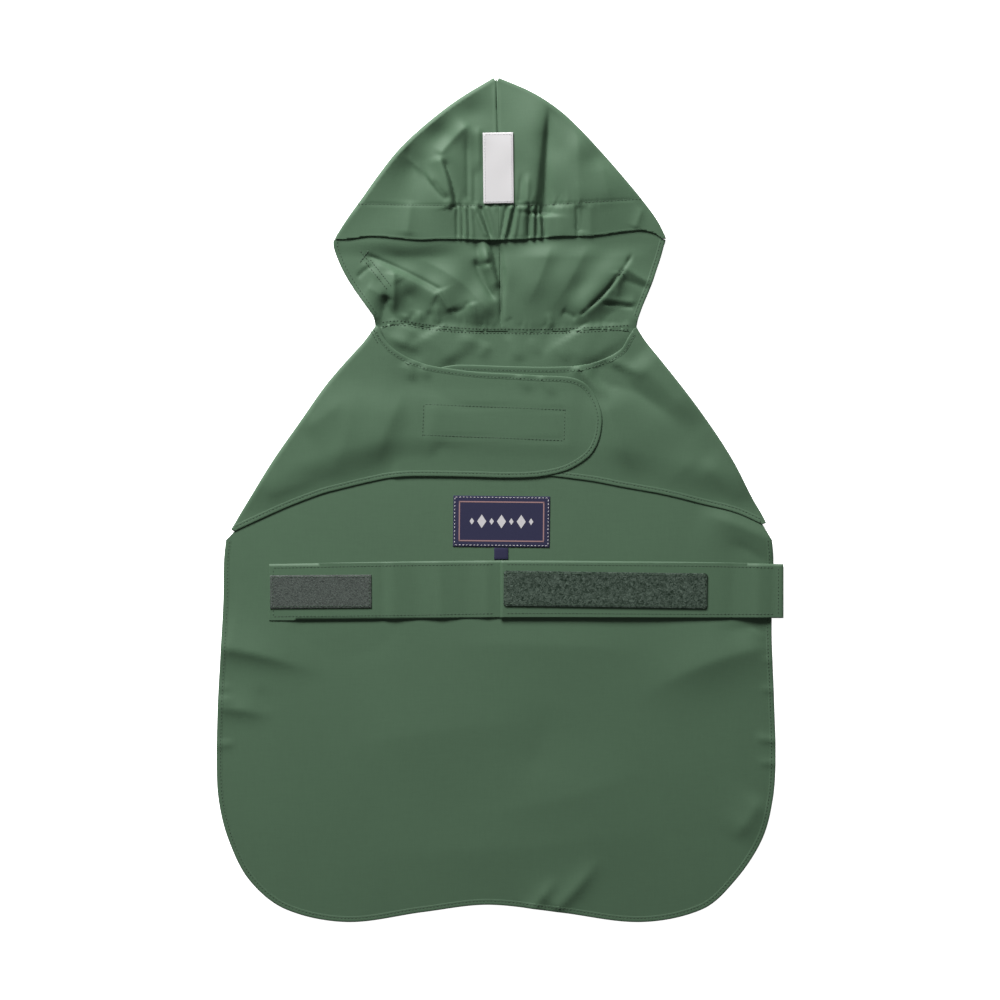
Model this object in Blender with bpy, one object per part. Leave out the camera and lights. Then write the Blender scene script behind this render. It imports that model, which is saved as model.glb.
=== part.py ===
"""A hooded dog coat, laid flat on its back with the inside up.

The back panel and its two chest flaps are one cut piece. The flaps fold over at the
shoulders, the left one on top of the right one. The hood's two halves wrap from the
front over a soft fold at the side to the back, and meet at a centre seam.
X runs across the coat, Y along it towards the hood, and Z up. The tables are in
millimetres. The origin is the middle of the coat on the surface that it lies on.
"""
import math

import bmesh
import bpy
import numpy as np

MM = 0.001

# Walls and gaps
WALL = 1.2              # every wall of cloth
TAPE = 1.0              # hook tape, loop tape, reflective strip
LABEL = 0.8             # woven label and size tab
GAP = 0.3               # between two pieces that touch or are sewn together
BODY_PITCH = 15.0       # the coat body's grid
HOOD_PITCH = 9.0        # the hood's grid
EDGE_PITCH = 8.0        # points along an outline
NEAR_CUT = 0.1          # of the pitch: how near a grid line takes in a point
TURN_STEPS = 4          # faces round a folded edge
FOLD_INSET = 3.0        # from a folded edge's outside to where its flat layers begin

# Heights of the middle of each layer
REST = WALL / 2                     # a layer that lies on the surface
FLAP_AT_SHOULDER = 4.4              # a chest flap where it folds over
FLAP_LAID = 3.0                     # the right flap where it lies on the back
FLAP_ON_FLAP = WALL + 0.5           # from the right flap up to the left one
CHEST_TAPES = 2 * (TAPE + GAP)      # what the fastening between the flaps adds
HOOD_AT_FOLD = 4.0                  # the hood's front layer beside its side folds
HOOD_LOFT = 6.5                     # how much higher it stands further in
HOOD_LOFT_REACH = 18.0              # over this distance from the side fold

# The coat's sides, from the neck corners to where the hem's lobes begin
#         y      left x   right x
SIDES = ((131.0, -93.0, 101.5),
         (120.0, -101.0, 108.5),
         (105.0, -114.5, 120.5),
         (90.0, -127.5, 132.5),
         (60.0, -149.0, 155.0),
         (30.0, -170.0, 174.5),
         (0.0, -188.5, 190.0),
         (-15.0, -197.5, 198.5),
         (-30.0, -205.5, 203.8),
         (-45.0, -207.0, 205.0),
         (-75.0, -207.5, 204.0),
         (-105.0, -209.0, 203.8),
         (-150.0, -211.5, 205.5),
         (-195.0, -212.5, 206.6),
         (-225.0, -211.0, 204.5),
         (-255.0, -203.5, 196.3))
LEFT, RIGHT = 1, 2                  # columns of SIDES and of HOOD_SIDES
LEFT_FLAP_FOOT = -22.0              # where each flap's lower edge meets the shoulder fold
RIGHT_FLAP_FOOT = -17.0

# The hem from the left side to the right one: two lobes and the dip between them
#        x       y
HEM = ((-188.0, -285.0), (-161.0, -306.8), (-114.5, -316.5), (-57.5, -309.0), (-9.5, -303.5),
       (43.0, -309.0), (105.5, -316.5), (152.0, -306.8), (176.6, -285.0))

# The neck seam, from the left neck corner to the right one
NECK_SEAM = ((-93.0, 132.0), (-75.0, 133.5), (-52.0, 130.3), (-36.0, 128.7), (-17.0, 127.6),
             (3.0, 127.5), (23.0, 127.2), (54.0, 128.0), (77.0, 129.0), (101.5, 130.5))

# The left flap's edge, from the shoulder's foot round its tab and up the neckline
LEFT_FLAP_LOWER = ((-175.0, -12.4), (-157.0, -4.5), (-133.0, 4.5), (-115.0, 9.2), (-97.0, 13.5),
                   (-82.0, 16.4), (-67.0, 17.6), (-27.0, 17.3), (5.0, 16.5), (28.0, 17.3))
LEFT_TAB = ((47.0, 21.0), (59.6, 27.0), (68.6, 34.5), (73.9, 44.3), (76.2, 55.5), (75.8, 65.3),
            (71.6, 77.3), (64.1, 87.0), (53.0, 91.9))
LEFT_NECKLINE = ((28.0, 93.4), (10.0, 94.5), (-17.0, 96.0), (-36.0, 98.3), (-51.5, 100.7),
                 (-65.0, 105.0), (-74.0, 109.5), (-81.5, 114.8), (-87.5, 122.3))

# The right flap's edge, the same way round; its tab is hidden under the left flap
RIGHT_FLAP_LOWER = ((176.6, -9.4), (152.6, -3.4), (123.4, 3.8), (90.4, 9.8), (71.6, 13.5),
                    (55.0, 15.8), (35.6, 18.0), (0.0, 18.8), (-28.0, 20.5))
RIGHT_TAB = ((-50.0, 25.0), (-63.0, 33.5), (-70.5, 46.0), (-73.0, 60.0), (-70.5, 75.0),
             (-62.0, 88.5), (-51.0, 97.0))
RIGHT_NECKLINE = ((-36.0, 101.0), (-22.0, 101.3), (0.0, 100.5), (31.0, 99.8), (45.0, 100.0),
                  (57.0, 100.6), (68.0, 102.5), (75.5, 104.8), (84.5, 109.0), (91.5, 114.0),
                  (96.0, 122.0))

# Hood: its side folds from the crown to the widest point, where the opening edge begins
#              y      left x   right x
HOOD_SIDES = ((316.5, -6.5, 0.5),
              (312.5, -11.5, 9.0),
              (307.5, -20.0, 20.5),
              (298.5, -34.0, 36.0),
              (289.5, -46.0, 48.0),
              (280.5, -57.0, 57.5),
              (262.5, -76.0, 74.6),
              (244.5, -90.4, 90.4),
              (226.5, -103.2, 105.4),
              (208.5, -116.0, 118.5),
              (197.0, -123.4, 124.3))
HOOD_CORNER = 197.0                 # y of the widest point
# The opening's edge from the widest point down to the neck corner
LEFT_OPENING = ((-124.9, 190.5), (-122.0, 181.5), (-118.0, 172.5), (-112.9, 163.5),
                (-106.9, 154.5), (-100.4, 145.5), (-95.0, 138.0))
RIGHT_OPENING = ((122.9, 190.5), (120.4, 181.5), (117.4, 172.5), (114.4, 163.5),
                 (110.8, 154.5), (107.0, 145.5), (103.9, 137.0))
# The brim, which is the front layer's lower edge, from left to right
BRIM = ((-112.0, 197.3), (-100.0, 198.0), (-89.6, 197.3), (-74.6, 195.8), (-59.6, 194.6),
        (-44.6, 195.4), (-29.6, 195.4), (-14.6, 194.6), (0.0, 194.6), (15.4, 195.2),
        (30.4, 196.1), (45.0, 197.3), (60.4, 197.3), (75.4, 198.4), (90.4, 200.6),
        (105.4, 202.3), (116.0, 202.6))
# The centre seam, which both layers of both halves follow
CENTRE_SEAM = ((316.5, -3.0), (275.0, -1.9), (220.0, -1.0), (195.0, -0.4), (127.5, 0.4))

# Folds. Each row is a ridge, or a trough where its height is negative:
#             x0      y0      x1      y1    width  height
BACK_FOLDS = ((-214.0, -109.0, -140.0, -128.0, 9.0, 2.6),
              (-218.0, -153.0, -176.0, -162.0, 7.0, 2.0),
              (205.0, -109.0, 105.0, -146.0, 13.0, 2.6),
              (196.0, -224.0, 172.0, -252.0, 7.0, 1.8),
              (24.0, -308.0, 46.0, -280.0, 5.0, 1.8),
              (42.0, -308.0, 74.0, -266.0, 6.0, 1.6))
RIGHT_FLAP_FOLDS = ((84.0, 88.0, 100.0, 8.0, 11.0, 1.8),
                    (72.0, 104.0, 136.0, 52.0, 12.0, -1.0),
                    (108.0, 104.0, 148.0, 50.0, 14.0, 1.4))
LEFT_FLAP_FOLDS = ((-66.0, 70.0, -78.0, 14.0, 7.0, 1.6),
                   (-120.0, 96.0, -84.0, 26.0, 16.0, 1.2))
HOOD_FRONT_FOLDS = ((36.0, 300.0, 29.5, 215.0, 4.5, -3.4),
                    (21.0, 300.0, 20.0, 218.0, 9.0, 1.3),
                    (47.0, 286.0, 46.0, 200.0, 9.0, 1.6),
                    (-22.0, 282.0, -50.0, 254.0, 4.5, -2.2),
                    (-42.0, 262.0, -32.0, 216.0, 4.0, -2.6),
                    (-58.0, 256.0, -35.0, 218.0, 3.5, -1.0),
                    (-84.0, 236.0, -88.0, 204.0, 16.0, 1.2))
HOOD_BACK_FOLDS = ((-104.0, 186.0, -72.0, 171.5, 5.0, 3.4),
                   (-78.0, 173.5, -42.0, 155.5, 5.0, 4.6),
                   (-47.0, 158.0, -34.0, 139.0, 4.5, 3.6),
                   (-78.0, 172.0, -79.0, 143.0, 5.0, 3.0),
                   (-10.0, 204.0, -7.0, 172.0, 3.4, 3.4),
                   (-9.0, 178.0, 0.0, 150.0, 3.4, 2.2),
                   (-24.0, 176.0, -6.0, 142.0, 5.0, 2.2),
                   (100.0, 187.0, 77.0, 171.0, 4.0, 3.0),
                   (79.0, 172.5, 61.0, 151.0, 4.0, 3.4),
                   (62.0, 153.0, 54.0, 134.0, 4.0, 2.6),
                   (22.0, 200.0, 16.0, 150.0, 13.0, 1.6))

# The elastic gathers in the brim's casing. Each row is one small ridge or furrow, which
# runs from the casing's stitch line down to the brim:
#            x top   x brim  width  height
GATHERS = ((-36.0, -35.0, 3.0, 0.9),
           (-31.0, -30.5, 1.8, -2.0),
           (-25.5, -24.5, 2.4, 1.3),
           (-20.5, -19.0, 1.8, -1.2),
           (-14.5, -3.5, 2.2, 1.5),
           (-8.0, 0.5, 1.8, -1.3),
           (11.5, 3.5, 2.4, 1.5),
           (15.0, 10.0, 1.8, -1.2),
           (18.5, 17.5, 2.6, 1.4),
           (23.0, 22.0, 1.6, -1.8),
           (26.5, 25.5, 1.8, 1.4),
           (28.5, 31.0, 1.6, -1.6),
           (35.0, 37.0, 3.0, 1.0),
           (55.0, 57.5, 3.2, -1.2))
CASING_TOP = 221.0                  # the casing's stitch line
CASING_FOOT = 194.0
GATHER_PITCH = 2.4                  # the casing's finer grid
GATHER_REACH = (-40.0, 62.0)        # from where to where along the brim

# Belly strap, and the tapes on it
#               x     bottom y  top y
STRAP_EDGES = ((-173.0, -90.4, -48.0),
               (-52.0, -89.0, -45.8),
               (0.0, -88.0, -45.3),
               (90.0, -88.1, -45.9),
               (150.0, -88.5, -46.5),
               (212.5, -88.5, -48.0))
STRAP_END = -173.0                  # the left end
STRAP_TURN = 212.5                  # where the strap is folded back
STRAP_BACK_TO = 0.0                 # where the folded-back run ends
STRAP_RUN_GAP = 0.6                 # between its two runs
#               x      width  height
STRAP_WAVES = ((-81.0, 8.0, 0.9), (-45.0, 9.0, 1.1), (-13.0, 8.0, 0.8))
#                centre x, centre y, length, width, turn in degrees
STRAP_HOOK_TAPE = (-134.3, -68.7, 76.0, 25.0, 0.4)
STRAP_LOOP_TAPE = (79.0, -67.2, 152.5, 26.6, -0.8)
CHEST_FASTENER = (-4.6, 58.2, 108.0, 25.0, -2.3)
REFLECTIVE = (-1.3, 248.5, 22.7, 53.0, 0.6)
WOVEN_LABEL = (1.1, -16.1, 72.5, 38.2, -0.6)
SIZE_TAB = (0.9, -40.2, 10.6, 8.8, 0.0)
CHEST_TAPE_MARGINS = (2.0, 12.0)    # the left flap eases down round the tapes between these

# Colours, as linear red, green and blue
GREEN = (0.085, 0.150, 0.092)
GREEN_PALE = (0.110, 0.185, 0.118)
HOOK_GREY = (0.070, 0.090, 0.080)
LOOP_GREEN = (0.036, 0.062, 0.044)
SILVER = (0.760, 0.750, 0.760)
NAVY = (0.030, 0.033, 0.085)


# ---------------------------------------------------------------- curves and heights

def smooth(table, at, column):
    """The table's column at y = at, on a smooth curve through its rows (y in column 0)."""
    rows = sorted(table)
    ys = np.array([row[0] for row in rows])
    xs = np.array([row[column] for row in rows])
    slopes = np.gradient(xs, ys)
    at = np.clip(np.asarray(at, float), ys[0], ys[-1])
    i = np.clip(np.searchsorted(ys, at) - 1, 0, len(ys) - 2)
    span = ys[i + 1] - ys[i]
    t = (at - ys[i]) / span
    return (xs[i] * (1 + 2 * t) * (1 - t) ** 2 + slopes[i] * span * t * (1 - t) ** 2
            + xs[i + 1] * t * t * (3 - 2 * t) - slopes[i + 1] * span * t * t * (1 - t))


def through(points, spacing=EDGE_PITCH):
    """Points about spacing apart on a smooth curve through the given points."""
    p = np.array(points, float)
    before = np.vstack([2 * p[0] - p[1], p[:-1]])
    after = np.vstack([p[1:], 2 * p[-1] - p[-2]])
    curve = []
    for i in range(len(p) - 1):
        a, b = p[i], p[i + 1]
        length = np.linalg.norm(b - a)
        go_in = (b - before[i]) * length / (np.linalg.norm(a - before[i]) + length)
        go_out = (after[i + 1] - a) * length / (np.linalg.norm(after[i + 1] - b) + length)
        steps = max(1, round(length / spacing))
        for t in np.arange(steps) / steps:
            curve.append(a * (1 + 2 * t) * (1 - t) ** 2 + go_in * t * (1 - t) ** 2
                         + b * t * t * (3 - 2 * t) - go_out * t * t * (1 - t))
    curve.append(p[-1])
    return [tuple(point) for point in curve]


def ease(value):
    """0 below 0, 1 above 1, and a soft slope between."""
    t = np.clip(value, 0.0, 1.0)
    return t * t * (3 - 2 * t)


def relief(folds, x, y):
    """The height that the folds give at (x, y); each fades out over its last fifth."""
    total = 0.0
    for x0, y0, x1, y1, width, height in folds:
        dx, dy = x1 - x0, y1 - y0
        length = math.hypot(dx, dy)
        along = ((x - x0) * dx + (y - y0) * dy) / length ** 2
        aside = ((x - x0) * dy - (y - y0) * dx) / length
        ends = ease(along / 0.2) * ease((1 - along) / 0.2)
        total = total + height * ends * np.exp(-(aside / width) ** 2)
    return total


def gathers(x, y):
    """The casing's small ridges and furrows, which die out at its stitch line."""
    down = (CASING_TOP - y) / (CASING_TOP - CASING_FOOT)
    total = 0.0
    for x_top, x_brim, width, height in GATHERS:
        middle = x_top + (x_brim - x_top) * np.clip(down, 0.0, 1.2)
        total = total + height * np.exp(-((x - middle) / width) ** 2)
    return total * ease((CASING_TOP + 1.0 - y) / 4.0)


def on_patch(patch, x, y):
    """The place of (x, y) along and across a rectangle (centre x, y, length, width, turn)."""
    cx, cy, length, width, turn = patch
    c, s = math.cos(math.radians(turn)), math.sin(math.radians(turn))
    along = (x - cx) * c + (y - cy) * s
    across = (y - cy) * c - (x - cx) * s
    return np.abs(along) - length / 2, np.abs(across) - width / 2


def back_height(x, y):
    return REST + relief(BACK_FOLDS, x, y)


def right_flap_height(x, y):
    from_fold = smooth(SIDES, y, RIGHT) - x
    drop = ease(from_fold / 70.0)
    return FLAP_AT_SHOULDER + (FLAP_LAID - FLAP_AT_SHOULDER) * drop + relief(RIGHT_FLAP_FOLDS, x, y)


def left_flap_height(x, y):
    """Beside the shoulder it lies on the back; further in, on the right flap and the tapes."""
    along, across = on_patch(CHEST_FASTENER, x, y)
    beyond = np.hypot(np.maximum(along, 0.0), np.maximum(across, 0.0))
    near, far = CHEST_TAPE_MARGINS
    over_tapes = CHEST_TAPES * (1 - ease((beyond - near) / (far - near)))
    over_flap = right_flap_height(x, y) + FLAP_ON_FLAP + over_tapes
    onto_flap = ease((x + 104.0 + 0.25 * (60.0 - y)) / 22.0)
    lying = FLAP_AT_SHOULDER + relief(LEFT_FLAP_FOLDS, x, y)
    return lying * (1 - onto_flap) + np.maximum(over_flap, 0.0) * onto_flap


def hood_front_height(x, y):
    left, right = smooth(HOOD_SIDES, y, LEFT), smooth(HOOD_SIDES, y, RIGHT)
    from_fold = np.maximum(np.minimum(x - left, right - x), 0.0)
    loft = HOOD_LOFT * (1 - np.exp(-from_fold / HOOD_LOFT_REACH))
    inside = ease((from_fold - 2.0) / 14.0)
    return HOOD_AT_FOLD + loft + inside * (relief(HOOD_FRONT_FOLDS, x, y) + gathers(x, y))


def hood_back_height(x, y):
    return REST + relief(HOOD_BACK_FOLDS, x, y)


def strap_wave(x):
    return sum(height * math.exp(-((x - middle) / width) ** 2)
               for middle, width, height in STRAP_WAVES)


# ---------------------------------------------------------------- cutting and walling

def bisect(plate, place, normal, near, faces=None):
    """Cut a plate, or only some of its faces, along an upright plane.

    A point that lies nearer than near to the cut is taken to be on it.
    """
    faces = list(plate.faces) if faces is None else faces
    edges = {edge for face in faces for edge in face.edges}
    verts = {vert for face in faces for vert in face.verts}
    bmesh.ops.bisect_plane(plate, geom=list(verts) + list(edges) + faces, dist=near,
                           plane_co=(*place, 0), plane_no=(*normal, 0))


def cut_plate(outline, pitch, finer=None, round_patch=None):
    """A flat piece of cloth of that outline, cut into a grid.

    finer is (low x, high x, low y, high y, pitch) of a stretch with a finer grid across.
    round_patch is (patch, margins): cuts along the patch's sides, at those margins out.
    """
    plate = bmesh.new()
    plate.faces.new([plate.verts.new((x, y, 0.0)) for x, y in outline])
    for axis, normal in ((0, (1, 0)), (1, (0, 1))):
        low = min(point[axis] for point in outline)
        high = max(point[axis] for point in outline)
        for k in range(math.ceil(low / pitch), math.floor(high / pitch) + 1):
            bisect(plate, (k * pitch, k * pitch), normal, pitch * NEAR_CUT)
    if finer:
        low_x, high_x, low_y, high_y, fine = finer
        bisect(plate, (0, high_y), (0, 1), fine * NEAR_CUT)
        for k in range(math.ceil(low_x / fine), math.floor(high_x / fine) + 1):
            within = [face for face in plate.faces
                      if low_y < face.calc_center_bounds().y < high_y]
            bisect(plate, (k * fine, 0), (1, 0), fine * NEAR_CUT, within)
    if round_patch:
        patch, margins = round_patch
        cx, cy, length, width, turn = patch
        along = (math.cos(math.radians(turn)), math.sin(math.radians(turn)))
        across = (-along[1], along[0])
        for margin in margins:
            for way, half in ((along, length / 2 + margin), (across, width / 2 + margin)):
                for side in (1, -1):
                    within = [face for face in plate.faces if max(
                        on_patch(patch, *face.calc_center_bounds()[:2])) < max(margins) + pitch / 2]
                    bisect(plate, (cx + side * half * way[0], cy + side * half * way[1]), way,
                           pitch * NEAR_CUT / 2, within)
    bmesh.ops.triangulate(plate, faces=plate.faces)
    return plate


def fold_line(table, column, top, bottom):
    """Points down a folded side, set in from its outside by FOLD_INSET."""
    count = round((top - bottom) / EDGE_PITCH)
    ys = np.linspace(top, bottom, count + 1)
    xs = smooth(table, ys, column)
    slope = np.gradient(xs, ys)
    inward = 1.0 if column == LEFT else -1.0
    size = np.hypot(1.0, slope)
    return [(x + inward * FOLD_INSET / s, y - inward * FOLD_INSET * m / s)
            for x, y, m, s in zip(xs, ys, slope, size)]


class Wall:
    """A wall of cloth: its middle points, the way its outside faces, and its faces."""

    def __init__(self):
        self.middle = []
        self.outward = []
        self.faces = []

    def add_point(self, place, outward):
        self.middle.append(np.array(place, float))
        self.outward.append(np.array(outward, float))
        return len(self.middle) - 1

    def add_face(self, corners):
        """Add a face, turned so that its front is the cloth's outside."""
        a, b, c = (self.middle[i] for i in corners[:3])
        outward = sum(self.outward[i] for i in corners)
        if np.dot(np.cross(b - a, c - a), outward) < 0:
            corners = corners[::-1]
        self.faces.append(corners)

    def lay(self, plate, height, facing):
        """Add a plate at its heights. facing is 1 where the cloth's outside is up."""
        number = {vert: self.add_point((vert.co.x, vert.co.y, height(vert.co.x, vert.co.y)),
                                       (0, 0, facing)) for vert in plate.verts}
        for face in plate.faces:
            self.add_face([number[vert] for vert in face.verts])
        return list(number.values())

    def on_line(self, numbers, line):
        """Which of these points lie on a fold line, from its top to its foot."""
        ys = np.array([y for x, y in line])
        xs = np.array([x for x, y in line])
        order = np.argsort(ys)
        near = [i for i in numbers
                if ys.min() - 0.01 <= self.middle[i][1] <= ys.max() + 0.01
                and abs(np.interp(self.middle[i][1], ys[order], xs[order])
                        - self.middle[i][0]) < 0.01]
        return sorted(near, key=lambda i: -self.middle[i][1])

    def turn(self, lower, upper, outside):
        """Carry the cloth round a folded edge, from one layer's edge up to the other's."""
        rings = []
        places = [self.middle[i] for i in lower]
        bulge = FOLD_INSET - WALL / 2
        for k, (low, high) in enumerate(zip(lower, upper)):
            run = places[min(k + 1, len(places) - 1)] - places[max(k - 1, 0)]
            normal = np.array((run[1], -run[0], 0.0)) * outside
            normal /= np.linalg.norm(normal)
            centre = (self.middle[low] + self.middle[high]) / 2
            rise = (self.middle[high][2] - self.middle[low][2]) / 2
            ring = [low]
            for step in range(1, TURN_STEPS):
                angle = math.pi * (step / TURN_STEPS - 0.5)
                radial = normal * math.cos(angle) + np.array((0, 0, math.sin(angle)))
                place = centre + normal * bulge * math.cos(angle)
                place[2] += rise * math.sin(angle)
                ring.append(self.add_point(place, radial))
            rings.append(ring + [high])
        for ring, following in zip(rings, rings[1:]):
            for a, b, c, d in zip(ring, ring[1:], following[1:], following):
                self.add_face([a, b, c])
                self.add_face([a, c, d])

    def close(self, name, thickness, material):
        """Make the wall a closed solid of that thickness, as one object."""
        count = len(self.middle)
        half = thickness / 2
        outer = [m + o * half for m, o in zip(self.middle, self.outward)]
        inner = [m - o * half for m, o in zip(self.middle, self.outward)]
        faces = [list(face) for face in self.faces]
        faces += [[i + count for i in reversed(face)] for face in self.faces]
        edges = {(a, b) for face in self.faces for a, b in zip(face, face[1:] + face[:1])}
        for a, b in sorted(edges):
            if (b, a) not in edges:
                faces.append([b, a, a + count, b + count])
        mesh = bpy.data.meshes.new(name)
        mesh.from_pydata([tuple(p * MM) for p in outer + inner], [], faces)
        mesh.materials.append(material)
        mesh.validate()
        mesh.shade_smooth()
        mesh.set_sharp_from_angle(angle=math.radians(50))
        piece = bpy.data.objects.new(name, mesh)
        bpy.context.scene.collection.objects.link(piece)
        return piece


def patch_outline(patch, corner=0.0):
    """A turned rectangle's outline, with its corners rounded to that radius."""
    cx, cy, length, width, turn = patch
    c, s = math.cos(math.radians(turn)), math.sin(math.radians(turn))
    points = []
    for sx, sy, start in ((1, 1, 0), (-1, 1, 90), (-1, -1, 180), (1, -1, 270)):
        px, py = sx * (length / 2 - corner), sy * (width / 2 - corner)
        for angle in ((0, 30, 60, 90) if corner else (0,)):
            a = math.radians(start + angle)
            qx, qy = px + corner * math.cos(a), py + corner * math.sin(a)
            points.append((cx + qx * c - qy * s, cy + qx * s + qy * c))
    return points


def sewn_patch(name, patch, thickness, height, material, corner=0.0):
    """A flat piece sewn on a layer: height gives the top of what it lies on."""
    wall = Wall()
    lift = GAP + thickness / 2
    plate = cut_plate(patch_outline(patch, corner), HOOD_PITCH)
    wall.lay(plate, lambda x, y: height(x, y) + lift, 1)
    return wall.close(name, thickness, material)


# ---------------------------------------------------------------- the pieces

def material(name, colour, roughness, metallic=0.0):
    made = bpy.data.materials.new(name)
    made.use_nodes = True
    shader = made.node_tree.nodes["Principled BSDF"]
    shader.inputs["Base Color"].default_value = (*colour, 1.0)
    shader.inputs["Roughness"].default_value = roughness
    shader.inputs["Metallic"].default_value = metallic
    return made


def make_body(cloth):
    """The back panel and both chest flaps, which are one piece of cloth."""
    neck_low = [(x, y - GAP / 2) for x, y in NECK_SEAM]
    left_fold = fold_line(SIDES, LEFT, neck_low[0][1] - 1.0, LEFT_FLAP_FOOT)
    right_fold = fold_line(SIDES, RIGHT, neck_low[-1][1] - 1.0, RIGHT_FLAP_FOOT)
    neck = through([left_fold[0]] + neck_low[1:-1] + [right_fold[0]])
    side_rows = [y for y, left, right in SIDES if y < min(LEFT_FLAP_FOOT, RIGHT_FLAP_FOOT) - 5]
    left_side = [(float(smooth(SIDES, y, LEFT)), y) for y in side_rows]
    right_side = [(float(smooth(SIDES, y, RIGHT)), y) for y in side_rows]
    edge = through(left_side + list(HEM) + right_side[::-1])
    outline = neck[::-1][:-1] + left_fold + edge + right_fold[::-1][:-1]

    wall = Wall()
    back = wall.lay(cut_plate(outline, BODY_PITCH), back_height, -1)
    flaps = ((left_fold, LEFT_FLAP_LOWER + LEFT_TAB + LEFT_NECKLINE, left_flap_height, 1.0),
             (right_fold, RIGHT_FLAP_LOWER + RIGHT_TAB + RIGHT_NECKLINE, right_flap_height, -1.0))
    for fold, edge_points, height, outside in flaps:
        edge = through([fold[-1]] + list(edge_points) + [fold[0]])
        over_tapes = (CHEST_FASTENER, CHEST_TAPE_MARGINS) if height is left_flap_height else None
        plate = cut_plate(fold + edge[1:-1], BODY_PITCH, round_patch=over_tapes)
        flap = wall.lay(plate, height, 1)
        wall.turn(wall.on_line(back, fold), wall.on_line(flap, fold), outside)
    return wall.close("coat_body", WALL, cloth)


def make_hood_half(name, column, cloth):
    """One half of the hood: its back layer, its front layer and the fold between them."""
    aside = -1.0 if column == LEFT else 1.0
    fold = fold_line(HOOD_SIDES, column, HOOD_SIDES[0][0], HOOD_CORNER)

    def seam(y):
        return float(smooth(CENTRE_SEAM, y, 1)) + aside * GAP / 2

    def half_of(points):
        return [(x, y) for x, y in points if (x - seam(y)) * aside > 3.0]

    neck = half_of([(x, y + GAP / 2) for x, y in NECK_SEAM])
    brim = half_of(BRIM)
    opening = LEFT_OPENING if column == LEFT else RIGHT_OPENING
    if column == RIGHT:
        neck, brim = neck[::-1], brim[::-1]
    crown = (seam(fold[0][1]), fold[0][1] + 1.0)
    neck_middle = (seam(NECK_SEAM[5][1]), NECK_SEAM[5][1] + GAP / 2)
    brim_middle = (seam(194.6), 194.6)

    def up_the_seam(start, end):
        count = round((end[1] - start[1]) / EDGE_PITCH)
        ys = np.linspace(start[1], end[1], count + 1)[1:-1]
        return [(seam(y), y) for y in ys]

    opening_edge = through(list(opening) + [neck[0]])
    back_outline = (fold + opening_edge + through(neck + [neck_middle])[1:]
                    + up_the_seam(neck_middle, crown) + [crown])
    front_outline = (fold + through([fold[-1]] + brim + [brim_middle])[1:]
                     + up_the_seam(brim_middle, crown) + [crown])
    finer = (*GATHER_REACH, CASING_FOOT - 4.0, CASING_TOP + 1.0, GATHER_PITCH)
    wall = Wall()
    back = wall.lay(cut_plate(back_outline, HOOD_PITCH), hood_back_height, -1)
    front = wall.lay(cut_plate(front_outline, HOOD_PITCH, finer), hood_front_height, 1)
    wall.turn(wall.on_line(back, fold), wall.on_line(front, fold), -aside)
    return wall.close(name, WALL, cloth)


def make_strap(cloth):
    """The belly strap: a long run on the back, folded back on itself at the right."""
    table = [(x, bottom, top) for x, bottom, top in STRAP_EDGES]
    low = WALL + GAP + WALL / 2
    high = low + WALL + STRAP_RUN_GAP
    turn_inset = (high - low) / 2
    stations = []
    for x in np.arange(STRAP_END, STRAP_TURN - turn_inset - WALL / 2, EDGE_PITCH):
        stations.append((x, low + strap_wave(x), (0, 0, -1)))
    middle_x = STRAP_TURN - turn_inset - WALL / 2
    for step in range(TURN_STEPS + 1):
        angle = math.pi * (step / TURN_STEPS - 0.5)
        stations.append((middle_x + turn_inset * math.cos(angle),
                         (low + high) / 2 + turn_inset * math.sin(angle),
                         (math.cos(angle), 0, math.sin(angle))))
    for x in np.arange(stations[-1][0] - EDGE_PITCH, STRAP_BACK_TO, -EDGE_PITCH):
        stations.append((x, high, (0, 0, 1)))
    stations.append((STRAP_BACK_TO, high, (0, 0, 1)))

    wall = Wall()
    rows = []
    for x, z, outward in stations:
        bottom, top = (float(smooth(table, x, column)) for column in (1, 2))
        rows.append([wall.add_point((x, bottom + (top - bottom) * t, z), outward)
                     for t in (0.0, 0.5, 1.0)])
    for row, following in zip(rows, rows[1:]):
        for a, b, c, d in zip(row, row[1:], following[1:], following):
            wall.add_face([a, b, c])
            wall.add_face([a, c, d])
    return wall.close("belly_strap", WALL, cloth)


def build():
    for old in list(bpy.data.objects):
        bpy.data.objects.remove(old, do_unlink=True)
    cloth = material("coat_cloth", GREEN, 0.55)
    strap_cloth = material("strap_cloth", GREEN_PALE, 0.55)
    hook = material("hook_tape", HOOK_GREY, 0.8)
    loop = material("loop_tape", LOOP_GREEN, 0.95)
    silver = material("reflective", SILVER, 0.35)
    navy = material("label_navy", NAVY, 0.7)

    make_body(cloth)
    make_hood_half("hood_left", LEFT, cloth)
    make_hood_half("hood_right", RIGHT, cloth)
    make_strap(strap_cloth)

    strap_low_top = 2 * WALL + GAP
    strap_high_top = strap_low_top + WALL + STRAP_RUN_GAP
    sewn_patch("strap_hook_tape", STRAP_HOOK_TAPE, TAPE, lambda x, y: strap_low_top, hook)
    sewn_patch("strap_loop_tape", STRAP_LOOP_TAPE, TAPE, lambda x, y: strap_high_top, loop, 4.0)
    sewn_patch("chest_loop_tape", CHEST_FASTENER, TAPE,
               lambda x, y: right_flap_height(x, y) + WALL / 2, loop)
    sewn_patch("chest_hook_tape", CHEST_FASTENER, TAPE,
               lambda x, y: right_flap_height(x, y) + WALL / 2 + GAP + TAPE, hook)
    sewn_patch("reflective_strip", REFLECTIVE, TAPE,
               lambda x, y: hood_front_height(x, y) + WALL / 2, silver)
    sewn_patch("woven_label", WOVEN_LABEL, LABEL, lambda x, y: WALL, navy)
    sewn_patch("size_tab", SIZE_TAB, LABEL, lambda x, y: WALL, navy)


build()
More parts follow.
